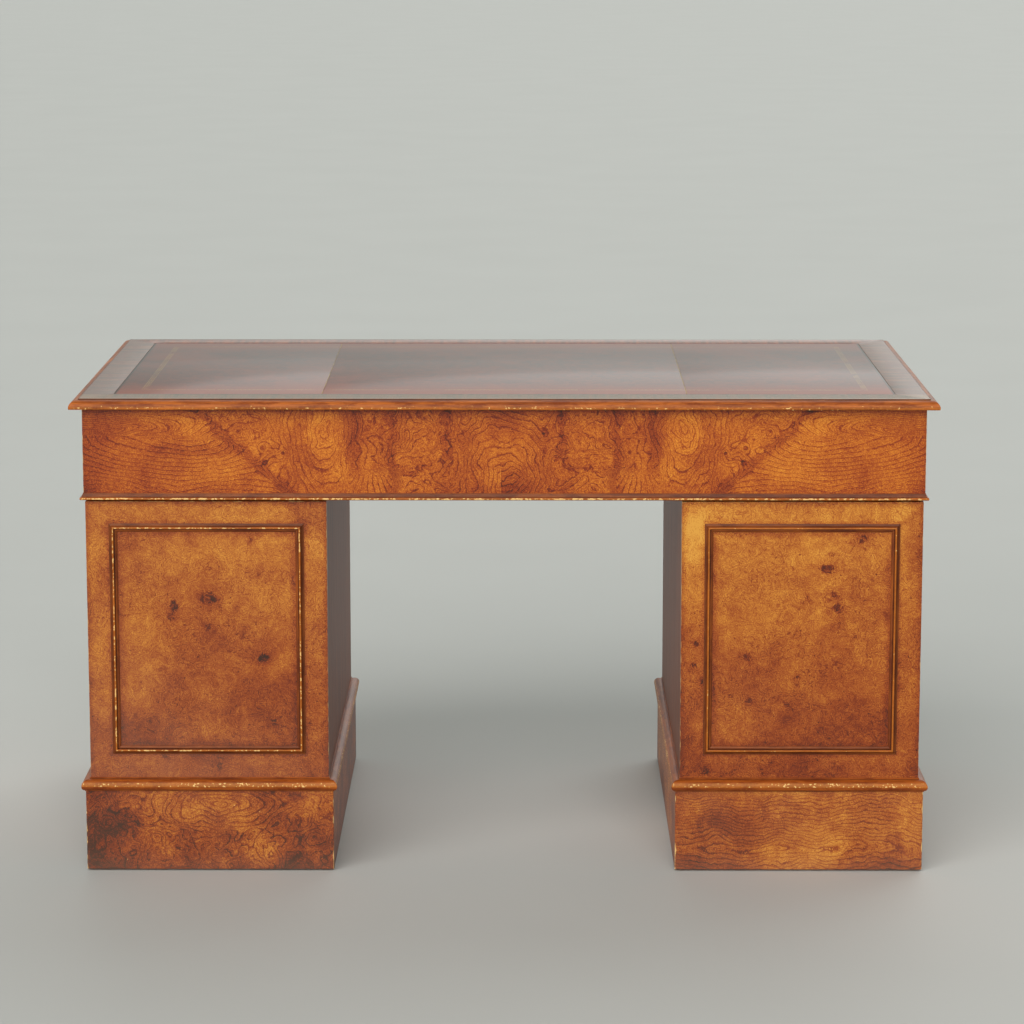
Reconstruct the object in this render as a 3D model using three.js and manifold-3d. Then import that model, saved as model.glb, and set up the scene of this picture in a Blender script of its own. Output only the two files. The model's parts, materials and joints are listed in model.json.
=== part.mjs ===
// A twin pedestal writing desk: a leather-topped frieze section with three drawers stands on two
// pedestals. The left one holds a drawer and a deep filing drawer, the right one three drawers.
//
// Frame: millimetres, +Z up, origin on the floor under the middle of the desk. The panelled back
// faces -Y and the drawers open towards +Y. Left is -X and right is +X.
import * as THREE from "three";
import { mergeVertices } from "three/addons/utils/BufferGeometryUtils.js";
import Module from "manifold-3d";

const wasm = await Module();
wasm.setup();

// ---------------------------------------------------------------- driving dimensions

const HEIGHT = 771;
const TOP_WIDTH = 1372;
const TOP_DEPTH = 700;
const TOP_THICKNESS = 16;
const TOP_OVERHANG = 19; // from the edge moulding's nose back to the frieze
const THUMB_WIDTH = 14.5; // the moulded edge, from its nose to the flat of the top
const LEATHER_BORDER = 49; // crossbanded wood between that flat's edge and the leather
const LEATHER_RECESS = 1.2;
const LEATHER_THICKNESS = 1;
const LEATHER_GAP = 0.5;

const BOARD = 18; // case sides, backs and drawer fronts
const RAIL_DEPTH = 22;
const FRIEZE_BOTTOM = 608;
const FRIEZE_BOTTOM_RAIL = 22;
const FRIEZE_TOP_RAIL = 16;
const FRIEZE_DUST_BOARD = 8;
const PARTITION = 20;
const RUNNER = 20;

const KNEEHOLE_WIDTH = 564;
const PEDESTAL_SETBACK = 2; // from the frieze's faces to the pedestal's, all round
const PEDESTAL_TOP = 605;
const PEDESTAL_TOP_BOARD = 15;
const RISER_INSET = 8; // the raised panel that the frieze section stands on
const PEDESTAL_FLOOR = 154; // top of the bottom board, and of the plinth moulding
const DUST_BOARD = 10;

const PLINTH_TOP = 133;
const PLINTH_OUTSET = 7.5;
const PLINTH_BOARD = 20;
const PLINTH_LIFT = 3; // the boards stop short of the floor, and the corner blocks stand on it
const CORNER_BLOCK = 40;

const DRAWER_GAP = 1;
const DRAWER_LENGTH = 580; // of the box behind the drawer front
const DRAWER_SIDE = 10;
const DRAWER_BOTTOM = 5;
const DRAWER_BOTTOM_LIFT = 8;
const DRAWER_HEADROOM = 5; // how far the box's sides stay under the front's top edge
const DRAWER_FRONT_SETBACK = 1;
const COCKBEAD_WIDTH = 3;
const COCKBEAD_PROUD = 2;
const PEDESTAL_DRAWER_HEIGHTS = [149, 134, 117]; // openings from the floor up, a rail between each

const PANEL_MOULDING_INSET = 36.5; // from the pedestal's edges to the moulding's outer edge
const PANEL_MOULDING_LOW = 192.5;
const PANEL_MOULDING_HIGH = 569.5;

const HANDLE_CENTRES = 80;
const HANDLE_PLATE = 1.6;
const PIVOT_REACH = 12.5; // from the drawer front's face to the bail's axis
const POST_REACH = 17.2;
const POST_RADIUS = 5;
const PIN_HOLE_RADIUS = 2.6;
const BAIL_RADIUS = 2.1;
const BAIL_DROP = 30;
const PIVOT_ABOVE_MIDDLE = 9; // the bail's axis sits this far above the drawer front's middle
const CENTRE_HANDLE_OFFSET = 150;

const PLACING_GAP = 0.3; // between a turned moulding and the face that carries it

// ---------------------------------------------------------------- derived dimensions

const topHalf = { x: TOP_WIDTH / 2, y: TOP_DEPTH / 2 };
const topUnderside = HEIGHT - TOP_THICKNESS;
const recessHalf = {
  x: topHalf.x - THUMB_WIDTH - LEATHER_BORDER,
  y: topHalf.y - THUMB_WIDTH - LEATHER_BORDER,
};
const frieze = { x: topHalf.x - TOP_OVERHANG, y: topHalf.y - TOP_OVERHANG };
const friezeInner = { x: frieze.x - BOARD, y: frieze.y - BOARD };
const friezeBay = [FRIEZE_BOTTOM + FRIEZE_BOTTOM_RAIL, topUnderside - FRIEZE_TOP_RAIL];
const kneehole = KNEEHOLE_WIDTH / 2;

const pedestalOuter = frieze.x - PEDESTAL_SETBACK;
const pedestalX = (pedestalOuter + kneehole) / 2;
const pedestal = { x: (pedestalOuter - kneehole) / 2, y: frieze.y - PEDESTAL_SETBACK };
const pedestalInner = { x: pedestal.x - BOARD, y: pedestal.y - BOARD };
const topBoardUnderside = PEDESTAL_TOP - PEDESTAL_TOP_BOARD;

// Pedestal drawer openings as [low, high], from the floor of the case up.
const pedestalBays = PEDESTAL_DRAWER_HEIGHTS.map((height, i) => {
  const below = PEDESTAL_DRAWER_HEIGHTS.slice(0, i).reduce((sum, h) => sum + h + BOARD, 0);
  return [PEDESTAL_FLOOR + below, PEDESTAL_FLOOR + below + height];
});
const [lowBay, middleBay, highBay] = pedestalBays;
const filingBay = [lowBay[0], middleBay[1]];

// ---------------------------------------------------------------- materials

const material = (color, roughness, metalness = 0) =>
  new THREE.MeshStandardMaterial({ color, roughness, metalness });
const burrVeneer = material(0xb0601f, 0.35);
const mouldingWood = material(0x8f4a1c, 0.4);
const caseWood = material(0xa9794a, 0.6);
const hide = material(0x6e2f26, 0.5);
const brass = material(0xb8913f, 0.3, 1);

// ---------------------------------------------------------------- shape helpers

// A board from its low and high limits along each axis.
function board([x0, x1], [y0, y1], [z0, z1]) {
  return new THREE.BoxGeometry(x1 - x0, y1 - y0, z1 - z0).translate(
    (x0 + x1) / 2,
    (y0 + y1) / 2,
    (z0 + z1) / 2,
  );
}

function toSolid(geometry) {
  const bare = geometry.index ? geometry.toNonIndexed() : geometry.clone();
  bare.deleteAttribute("normal");
  bare.deleteAttribute("uv");
  const merged = mergeVertices(bare, 1e-4);
  return new wasm.Manifold(
    new wasm.Mesh({
      numProp: 3,
      vertProperties: merged.attributes.position.array,
      triVerts: new Uint32Array(merged.index.array),
    }),
  );
}

function toGeometry(solid) {
  const mesh = solid.getMesh();
  const geometry = new THREE.BufferGeometry()
    .setAttribute("position", new THREE.BufferAttribute(mesh.vertProperties, 3))
    .setIndex(new THREE.BufferAttribute(mesh.triVerts, 1))
    .toNonIndexed();
  geometry.computeVertexNormals();
  return geometry;
}

const join = (first, ...rest) =>
  toGeometry(rest.reduce((sum, geometry) => sum.add(toSolid(geometry)), toSolid(first)));
const cut = (first, ...tools) =>
  toGeometry(tools.reduce((left, tool) => left.subtract(toSolid(tool)), toSolid(first)));

// Sweeps a profile round a rectangle with mitred corners. A profile point's x is its distance
// outside the rectangle and its y the height. A closed profile makes a ring. An open one, from
// the bottom up, makes a slab that is capped with flat faces.
function mitred(profile, half, closed = true) {
  const corners = [
    [1, 1],
    [-1, 1],
    [-1, -1],
    [1, -1],
  ];
  const count = profile.length;
  const positions = corners.flatMap(([sx, sy]) =>
    profile.flatMap((p) => [sx * (half.x + p.x), sy * (half.y + p.y * 0 + p.x), p.y]),
  );
  const faces = [];
  for (let corner = 0; corner < 4; corner += 1) {
    const here = corner * count;
    const next = ((corner + 1) % 4) * count;
    for (let i = 0; i < (closed ? count : count - 1); i += 1) {
      const up = (i + 1) % count;
      faces.push(here + i, next + i, next + up, here + i, next + up, here + up);
    }
  }
  if (!closed) {
    const top = count - 1;
    faces.push(0, 2 * count, count, 0, 3 * count, 2 * count);
    faces.push(top, top + count, top + 2 * count, top, top + 2 * count, top + 3 * count);
  }
  const geometry = new THREE.BufferGeometry()
    .setAttribute("position", new THREE.Float32BufferAttribute(positions, 3))
    .setIndex(faces)
    .toNonIndexed();
  geometry.computeVertexNormals();
  return geometry;
}

const group = new THREE.Group();

function place(name, geometry, finish, parent = group) {
  const mesh = new THREE.Mesh(geometry, finish);
  mesh.name = name;
  parent.add(mesh);
  return mesh;
}

// ---------------------------------------------------------------- mouldings

const ARC_STEPS = 5;

// The thumbnail edge of the top: a rounded underside, a nose, a quarter ellipse and a small step.
function topEdgeProfile() {
  const noseHeight = topUnderside + 4.5;
  const stepHeight = HEIGHT - 1.8;
  const edge = new THREE.Path();
  edge.moveTo(-2, topUnderside);
  edge.quadraticCurveTo(0, topUnderside, 0, topUnderside + 2.5);
  edge.lineTo(0, noseHeight);
  edge.absellipse(1 - THUMB_WIDTH, noseHeight, THUMB_WIDTH - 1, stepHeight - noseHeight, 0, Math.PI / 2);
  edge.lineTo(-THUMB_WIDTH, stepHeight);
  edge.lineTo(-THUMB_WIDTH, HEIGHT);
  return withoutRepeats(edge.getPoints(ARC_STEPS));
}

// The bead under the frieze: a hollow that falls away from the face, then a round lip.
function friezeBeadProfile() {
  const low = FRIEZE_BOTTOM;
  const bead = new THREE.Path();
  bead.moveTo(0, low);
  bead.lineTo(3.6, low);
  bead.absarc(3.6, low + 2.3, 2.3, -Math.PI / 2, Math.PI / 2);
  bead.lineTo(2.8, low + 4.6);
  bead.quadraticCurveTo(2, low + 6.4, 0.8, low + 10);
  bead.lineTo(0.8, low + 11);
  bead.lineTo(0, low + 11);
  return withoutRepeats(bead.getPoints(ARC_STEPS));
}

// The plinth moulding: flat where it stands on the plinth, a full round nose and a top fillet.
function plinthProfile() {
  const low = PLINTH_TOP;
  const high = PEDESTAL_FLOOR;
  const nose = { out: 14, up: low + 8.5 };
  const moulding = new THREE.Path();
  moulding.moveTo(0, low);
  moulding.lineTo(9, low);
  moulding.lineTo(9, low + 1.5);
  moulding.absellipse(9, nose.up, nose.out - 9, nose.up - low - 1.5, -Math.PI / 2, 0);
  moulding.absellipse(2.5, nose.up, nose.out - 2.5, high - 2.5 - nose.up, 0, Math.PI / 2);
  moulding.lineTo(1.5, high - 2.5);
  moulding.lineTo(1.5, high);
  moulding.lineTo(0, high);
  return withoutRepeats(moulding.getPoints(ARC_STEPS));
}

// The applied panel moulding: a hollow, a proud bead, a quirk and an inner lip.
function panelProfile() {
  const bead = new THREE.Path();
  bead.moveTo(0, 0);
  bead.lineTo(0, 1.2);
  bead.quadraticCurveTo(-3, 1.6, -4.6, 4.2);
  bead.absarc(-6.6, 4.2, 2, 0, Math.PI);
  bead.lineTo(-8.6, 1.6);
  bead.lineTo(-9.6, 1.6);
  bead.lineTo(-9.6, 2.6);
  bead.quadraticCurveTo(-12, 2.6, -13.5, 0.8);
  bead.lineTo(-13.5, 0);
  return withoutRepeats(bead.getPoints(ARC_STEPS));
}

function cockbeadProfile() {
  const bead = new THREE.Path();
  const radius = COCKBEAD_WIDTH / 2;
  bead.moveTo(0, -1);
  bead.lineTo(0, COCKBEAD_PROUD + DRAWER_FRONT_SETBACK - radius);
  bead.absarc(-radius, COCKBEAD_PROUD + DRAWER_FRONT_SETBACK - radius, radius, 0, Math.PI);
  bead.lineTo(-COCKBEAD_WIDTH, -1);
  return withoutRepeats(bead.getPoints(4));
}

function withoutRepeats(points) {
  return points.filter((p, i) => i === 0 || p.distanceTo(points[i - 1]) > 1e-3);
}

// ---------------------------------------------------------------- top and frieze

function topBoard() {
  const recess = board(
    [-recessHalf.x, recessHalf.x],
    [-recessHalf.y, recessHalf.y],
    [HEIGHT - LEATHER_RECESS, HEIGHT + 1],
  );
  return cut(mitred(topEdgeProfile(), topHalf, false), recess);
}

function leather() {
  const x = recessHalf.x - LEATHER_GAP;
  const y = recessHalf.y - LEATHER_GAP;
  const low = HEIGHT - LEATHER_RECESS;
  return board([-x, x], [-y, y], [low, low + LEATHER_THICKNESS]);
}

// Rails, runners, partitions and dust board, glued up as one frame between the frieze boards.
function friezeFrame() {
  const { x, y } = friezeInner;
  const depth = [-y, frieze.y];
  const front = [frieze.y - RAIL_DEPTH, frieze.y];
  const [bayLow, bayHigh] = friezeBay;
  const low = [FRIEZE_BOTTOM, bayLow];
  const high = [bayHigh, topUnderside];
  const pieces = [
    board([-x, x], front, low),
    board([-x, x], front, high),
    board([-x, x], [-y, RAIL_DEPTH - y], low),
    board([-x, x], depth, [FRIEZE_BOTTOM, FRIEZE_BOTTOM + FRIEZE_DUST_BOARD]),
  ];
  for (const side of [-1, 1]) {
    const across = (from, to) => [side * from, side * to].sort((a, b) => a - b);
    pieces.push(board(across(kneehole, kneehole + PARTITION), depth, [FRIEZE_BOTTOM, topUnderside]));
    for (const level of [low, high]) {
      pieces.push(board(across(kneehole - RUNNER, kneehole + PARTITION + RUNNER), depth, level));
      pieces.push(board(across(x - RUNNER, x), depth, level));
    }
  }
  return join(...pieces);
}

place("top_board", topBoard(), burrVeneer);
place("leather_skiver", leather(), hide);
const friezeHeight = [FRIEZE_BOTTOM, topUnderside];
place(
  "frieze_back_board",
  board([-frieze.x, frieze.x], [-frieze.y, -friezeInner.y], friezeHeight),
  burrVeneer,
);
place(
  "frieze_end_left",
  board([-frieze.x, -friezeInner.x], [-friezeInner.y, frieze.y], friezeHeight),
  burrVeneer,
);
place(
  "frieze_end_right",
  board([friezeInner.x, frieze.x], [-friezeInner.y, frieze.y], friezeHeight),
  burrVeneer,
);
place("frieze_drawer_frame", friezeFrame(), caseWood);
place("frieze_bead_moulding", mitred(friezeBeadProfile(), frieze), mouldingWood);

// ---------------------------------------------------------------- pedestals

// The board under the frieze section, with a raised panel that leaves a shadow gap at its edges.
function pedestalTopBoard() {
  const { x, y } = pedestalInner;
  return join(
    board([-x, x], [-y, pedestal.y], [topBoardUnderside, PEDESTAL_TOP]),
    board(
      [RISER_INSET - x, x - RISER_INSET],
      [RISER_INSET - y, pedestal.y - RISER_INSET],
      [PEDESTAL_TOP - 1, FRIEZE_BOTTOM],
    ),
  );
}

// A front rail with a thinner dust board behind it, flush on top, where the drawer above slides.
function dustBoard(top) {
  const x = pedestalInner.x;
  const front = pedestal.y - RAIL_DEPTH;
  return join(
    board([-x, x], [front, pedestal.y], [top - BOARD, top]),
    board([-x, x], [-pedestalInner.y, front + 1], [top - DUST_BOARD, top]),
  );
}

// Four plinth boards, the corner blocks that carry them and the case's bottom board, glued as one.
function plinth() {
  const outer = { x: pedestal.x + PLINTH_OUTSET, y: pedestal.y + PLINTH_OUTSET };
  const inner = { x: outer.x - PLINTH_BOARD, y: outer.y - PLINTH_BOARD };
  const height = [PLINTH_LIFT, PLINTH_TOP];
  const wall = [new THREE.Vector2(0, height[0]), new THREE.Vector2(0, height[1])];
  wall.push(new THREE.Vector2(-PLINTH_BOARD, height[1]), new THREE.Vector2(-PLINTH_BOARD, height[0]));
  const blocks = [];
  for (const sx of [-1, 1]) {
    for (const sy of [-1, 1]) {
      const limits = (s, edge) => [s * edge, s * (edge - CORNER_BLOCK)].sort((a, b) => a - b);
      blocks.push(board(limits(sx, inner.x), limits(sy, inner.y), [0, PLINTH_TOP]));
    }
  }
  const bottom = board(
    [-pedestalInner.x, pedestalInner.x],
    [-pedestalInner.y, pedestal.y],
    [PLINTH_TOP, PEDESTAL_FLOOR],
  );
  return join(mitred(wall, outer), ...blocks, bottom);
}

function buildPedestal(name, side, railTops) {
  const parent = new THREE.Group();
  parent.position.x = side * pedestalX;
  group.add(parent);
  const { x, y } = pedestal;
  const height = [PLINTH_TOP, PEDESTAL_TOP];
  const depth = [-pedestalInner.y, y];
  const sides = { outer: side, inner: -side };
  for (const [which, sign] of Object.entries(sides)) {
    const across = [sign * pedestalInner.x, sign * x].sort((a, b) => a - b);
    place(`${name}_side_${which}`, board(across, depth, height), burrVeneer, parent);
  }
  place(`${name}_back_panel`, board([-x, x], [-y, -pedestalInner.y], height), burrVeneer, parent);
  place(`${name}_top_board`, pedestalTopBoard(), caseWood, parent);
  railTops.forEach(([level, top]) =>
    place(`${name}_dust_board_${level}`, dustBoard(top), caseWood, parent),
  );
  place(`${name}_plinth`, plinth(), burrVeneer, parent);
  place(`${name}_plinth_moulding`, mitred(plinthProfile(), pedestal), mouldingWood, parent);
  const frame = {
    x: x - PANEL_MOULDING_INSET,
    y: (PANEL_MOULDING_HIGH - PANEL_MOULDING_LOW) / 2,
  };
  const moulding = place(
    `${name}_panel_moulding`,
    mitred(panelProfile(), frame),
    mouldingWood,
    parent,
  );
  moulding.rotation.x = Math.PI / 2;
  moulding.position.set(0, -y - PLACING_GAP, (PANEL_MOULDING_HIGH + PANEL_MOULDING_LOW) / 2);
}

buildPedestal("left_pedestal", -1, [["upper", highBay[0]]]);
buildPedestal("right_pedestal", 1, [
  ["upper", highBay[0]],
  ["lower", middleBay[0]],
]);

// ---------------------------------------------------------------- drawers

// A raised cockbead round the front's face, between two heights, in the front's own frame.
function cockbead(halfWidth, [low, high]) {
  return mitred(cockbeadProfile(), { x: halfWidth, y: (high - low) / 2 })
    .rotateX(-Math.PI / 2)
    .translate(0, 0, (high + low) / 2);
}

// The drawer front. A filing drawer's front has a false rail and a cockbead round each half.
function drawerFront(halfWidth, [low, high], falseRail) {
  const face = board([-halfWidth, halfWidth], [-BOARD, 0], [low, high]);
  if (!falseRail) return join(face, cockbead(halfWidth, [low, high]));
  const [railLow, railHigh] = falseRail;
  return join(
    face,
    cockbead(halfWidth, [low, railLow - DRAWER_GAP]),
    cockbead(halfWidth, [railHigh + DRAWER_GAP, high]),
    board([-halfWidth, halfWidth], [-1, DRAWER_FRONT_SETBACK], falseRail),
  );
}

// Two sides, a back and a raised bottom, glued up as one box that is open at the top and front.
function drawerBox(halfWidth, [low, high]) {
  const top = high - DRAWER_HEADROOM;
  const inside = halfWidth - DRAWER_SIDE;
  const floor = low + DRAWER_BOTTOM_LIFT;
  const back = -BOARD - DRAWER_LENGTH;
  return cut(
    board([-halfWidth, halfWidth], [back, -BOARD], [low, top]),
    board([-inside, inside], [back + DRAWER_SIDE, 0], [floor + DRAWER_BOTTOM, high]),
    board([-inside, inside], [back - 1, 0], [low - 1, floor]),
  );
}

// ---------------------------------------------------------------- handles

// The plate's outline: round ends behind the posts and a shaped top and bottom edge.
function plateOutline() {
  const end = HANDLE_CENTRES / 2;
  const outline = new THREE.Shape();
  outline.moveTo(0, 15);
  outline.quadraticCurveTo(6, 10, 16, 11);
  outline.quadraticCurveTo(26, 12, end - 6, 13);
  outline.quadraticCurveTo(end + 8, 15, end + 12, 4);
  outline.quadraticCurveTo(end + 16, 0, end + 10, -6);
  outline.quadraticCurveTo(end + 4, -14, end - 12, -16);
  outline.quadraticCurveTo(14, -18, 8, -24);
  outline.quadraticCurveTo(4, -30, 0, -31);
  outline.quadraticCurveTo(-4, -30, -8, -24);
  outline.quadraticCurveTo(-14, -18, 12 - end, -16);
  outline.quadraticCurveTo(-end - 4, -14, -end - 10, -6);
  outline.quadraticCurveTo(-end - 16, 0, -end - 12, 4);
  outline.quadraticCurveTo(-end - 8, 15, 6 - end, 13);
  outline.quadraticCurveTo(-26, 12, -16, 11);
  outline.quadraticCurveTo(-6, 10, 0, 15);
  return outline;
}

// A turned post: a collar on the plate, a neck, and a head that is bored for the bail.
function post(x) {
  const profile = [
    [0, HANDLE_PLATE - 1],
    [POST_RADIUS + 1, HANDLE_PLATE - 1],
    [POST_RADIUS + 1, HANDLE_PLATE + 1.2],
    [POST_RADIUS - 1.8, HANDLE_PLATE + 3],
    [POST_RADIUS, PIVOT_REACH - 4],
    [POST_RADIUS, PIVOT_REACH + 3],
    [POST_RADIUS - 2, POST_REACH],
    [0, POST_REACH],
  ].map(([radius, out]) => new THREE.Vector2(radius, out));
  return new THREE.LatheGeometry(profile, 12).translate(x, 0, 0);
}

function pinHole(x) {
  return new THREE.CylinderGeometry(PIN_HOLE_RADIUS, PIN_HOLE_RADIUS, 4 * POST_RADIUS, 12)
    .rotateZ(Math.PI / 2)
    .translate(x, PIVOT_REACH, 0);
}

function handlePlate() {
  const plate = new THREE.ExtrudeGeometry(plateOutline(), {
    depth: HANDLE_PLATE,
    bevelEnabled: false,
    curveSegments: 3,
  })
    .rotateX(Math.PI / 2)
    .translate(0, HANDLE_PLATE, 0);
  const end = HANDLE_CENTRES / 2;
  return cut(join(plate, post(-end), post(end)), pinHole(-end), pinHole(end));
}

// The drop of the handle: a bar whose ends turn out into the posts.
function bail() {
  const end = HANDLE_CENTRES / 2;
  const right = [
    [end + POST_RADIUS + 0.8, 0],
    [end - POST_RADIUS - 1.2, 0],
    [end - POST_RADIUS - 5, -3.5],
    [end - POST_RADIUS - 3.5, -12],
    [end - POST_RADIUS - 7, -22],
    [end - POST_RADIUS - 19, -BAIL_DROP + 2],
  ];
  const left = right.map(([x, z]) => [-x, z]).reverse();
  const points = [...right, [0, -BAIL_DROP], ...left].map(
    ([x, z]) => new THREE.Vector3(x, PIVOT_REACH, z),
  );
  const section = new THREE.Shape().absarc(0, 0, BAIL_RADIUS, 0, 2 * Math.PI);
  return new THREE.ExtrudeGeometry(section, {
    steps: 24,
    curveSegments: 4,
    bevelEnabled: false,
    extrudePath: new THREE.CatmullRomCurve3(points, false, "centripetal"),
  });
}

const plateGeometry = handlePlate();
const bailGeometry = bail();

function buildHandle(name, parent, x, z) {
  const plate = place(`${name}_handle_plate`, plateGeometry, brass, parent);
  const drop = place(`${name}_handle_bail`, bailGeometry, brass, parent);
  plate.position.set(x, 0, z);
  drop.position.set(x, 0, z);
}

// A drawer in the opening between [x0, x1] and [low, high]. Its group's origin is in the middle
// of the front's face, at floor height.
function buildDrawer({ name, across, bay, face, handles, falseRail }) {
  const parent = new THREE.Group();
  parent.position.set((across[0] + across[1]) / 2, face - DRAWER_FRONT_SETBACK, 0);
  group.add(parent);
  const halfWidth = (across[1] - across[0]) / 2 - DRAWER_GAP;
  const height = [bay[0] + DRAWER_GAP, bay[1] - DRAWER_GAP];
  place(`${name}_drawer_front`, drawerFront(halfWidth, height, falseRail), burrVeneer, parent);
  place(`${name}_drawer_box`, drawerBox(halfWidth, height), caseWood, parent);
  for (const handle of handles) {
    const [low, high] = handle.bay ?? bay;
    buildHandle(handle.name, parent, handle.x ?? 0, (low + high) / 2 + PIVOT_ABOVE_MIDDLE);
  }
}

function pedestalDrawer(name, side, bay, handles = [{ name }], falseRail = undefined) {
  const middle = side * pedestalX;
  const across = [middle - pedestalInner.x, middle + pedestalInner.x];
  return { name, across, bay, face: pedestal.y, handles, falseRail };
}

const sideBay = [kneehole + PARTITION, friezeInner.x];
const friezeDrawer = { bay: friezeBay, face: frieze.y };
[
  {
    ...friezeDrawer,
    name: "frieze_left",
    across: sideBay.map((x) => -x).reverse(),
    handles: [{ name: "frieze_left" }],
  },
  {
    ...friezeDrawer,
    name: "frieze_centre",
    across: [-kneehole, kneehole],
    handles: [
      { name: "frieze_centre_left", x: -CENTRE_HANDLE_OFFSET },
      { name: "frieze_centre_right", x: CENTRE_HANDLE_OFFSET },
    ],
  },
  { ...friezeDrawer, name: "frieze_right", across: sideBay, handles: [{ name: "frieze_right" }] },
  pedestalDrawer("left_upper", -1, highBay),
  pedestalDrawer(
    "left_filing",
    -1,
    filingBay,
    [
      { name: "left_filing_upper", bay: middleBay },
      { name: "left_filing_lower", bay: lowBay },
    ],
    [lowBay[1], middleBay[0]],
  ),
  pedestalDrawer("right_upper", 1, highBay),
  pedestalDrawer("right_middle", 1, middleBay),
  pedestalDrawer("right_lower", 1, lowBay),
].forEach(buildDrawer);

export default group;
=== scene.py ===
"""The looks of a twin pedestal writing desk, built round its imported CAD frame.

The CAD's flat boards stay, with softened edges and veneers. The mouldings, the top, the leather,
the drawers and the brass handles are finer pieces that stand for their CAD nodes. Lengths are in
metres. The panelled back faces -Y and the drawers open towards +Y.
"""

import json
import math

import bmesh
import bpy
from mathutils import Matrix, Vector, noise as wave


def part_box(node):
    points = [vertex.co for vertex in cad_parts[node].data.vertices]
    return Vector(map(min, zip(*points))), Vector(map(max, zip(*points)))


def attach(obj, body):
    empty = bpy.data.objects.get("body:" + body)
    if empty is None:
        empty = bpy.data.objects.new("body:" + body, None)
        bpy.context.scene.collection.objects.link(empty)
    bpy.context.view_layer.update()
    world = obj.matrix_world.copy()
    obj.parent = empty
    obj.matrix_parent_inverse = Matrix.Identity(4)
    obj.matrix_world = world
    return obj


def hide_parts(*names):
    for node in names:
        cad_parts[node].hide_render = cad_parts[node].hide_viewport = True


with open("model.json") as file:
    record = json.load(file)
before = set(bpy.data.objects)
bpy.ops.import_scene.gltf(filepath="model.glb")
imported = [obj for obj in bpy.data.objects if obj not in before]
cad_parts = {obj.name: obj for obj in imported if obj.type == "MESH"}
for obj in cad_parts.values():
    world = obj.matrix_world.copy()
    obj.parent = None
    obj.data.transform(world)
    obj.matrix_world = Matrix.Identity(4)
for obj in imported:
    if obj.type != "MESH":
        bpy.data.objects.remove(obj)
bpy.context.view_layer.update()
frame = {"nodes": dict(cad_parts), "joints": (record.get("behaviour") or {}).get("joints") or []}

nodes = frame["nodes"]
MM = 0.001


def display(red, green, blue):
    """A colour as a screen shows it, 0 to 255, turned into the linear values that shaders use."""

    def linear(value):
        c = value / 255
        return c / 12.92 if c <= 0.04045 else ((c + 0.055) / 1.055) ** 2.4

    return (linear(red), linear(green), linear(blue), 1.0)


GOLD = display(211, 151, 59)
HONEY = display(196, 125, 41)
AMBER = display(176, 101, 28)
RUSSET = display(156, 77, 20)
CHESTNUT = display(135, 55, 4)
UMBER = display(108, 37, 3)
SOOT = display(48, 22, 8)
# A pinkish grey film: dust, and a painted sheen for the room reflected in the polish.
DUST_AND_SHEEN = display(156, 118, 98)
# Pale worn wood, which on moulding ridges also stands for a painted highlight.
WORN_AND_HIGHLIGHT = display(238, 196, 124)
WALNUT = display(132, 66, 26)
WALNUT_DARK = display(76, 34, 14)
WALNUT_SHADE = display(98, 46, 20)
RIM_WOOD = display(172, 88, 26)
RIM_WOOD_DARK = display(118, 52, 14)
EDGE_WOOD = display(190, 102, 36)
# Near black brown, for soiling and painted shade in hollows.
GRIME_AND_SHADE = display(58, 28, 14)
LINING = display(198, 146, 92)
LINING_DARK = display(158, 106, 62)
HIDE = display(106, 54, 38)
HIDE_DARK = display(74, 36, 28)
HIDE_WORN = display(142, 68, 46)
GILT = display(206, 172, 88)
BRASS = display(226, 180, 98)
BRASS_DARK = display(158, 112, 54)
WOOD_TONES = [
    (0.0, SOOT), (0.28, UMBER), (0.42, CHESTNUT), (0.56, RUSSET), (0.7, AMBER), (0.84, HONEY), (1.0, GOLD),
]

COAT_ROUGHNESS = 0.16

# ---- shader graphs


class Value:
    """A socket of a graph that adds, multiplies and so on like a number."""

    def __init__(self, graph, socket):
        self.graph, self.socket = graph, socket

    def __add__(self, other):
        return self.graph.math("ADD", self, other)

    def __sub__(self, other):
        return self.graph.math("SUBTRACT", self, other)

    def __rsub__(self, other):
        return self.graph.math("SUBTRACT", other, self)

    def __mul__(self, other):
        return self.graph.math("MULTIPLY", self, other)

    def __truediv__(self, other):
        return self.graph.math("DIVIDE", self, other)

    def __rtruediv__(self, other):
        return self.graph.math("DIVIDE", other, self)

    def __abs__(self):
        return self.graph.math("ABSOLUTE", self)

    __radd__, __rmul__ = __add__, __mul__


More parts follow.
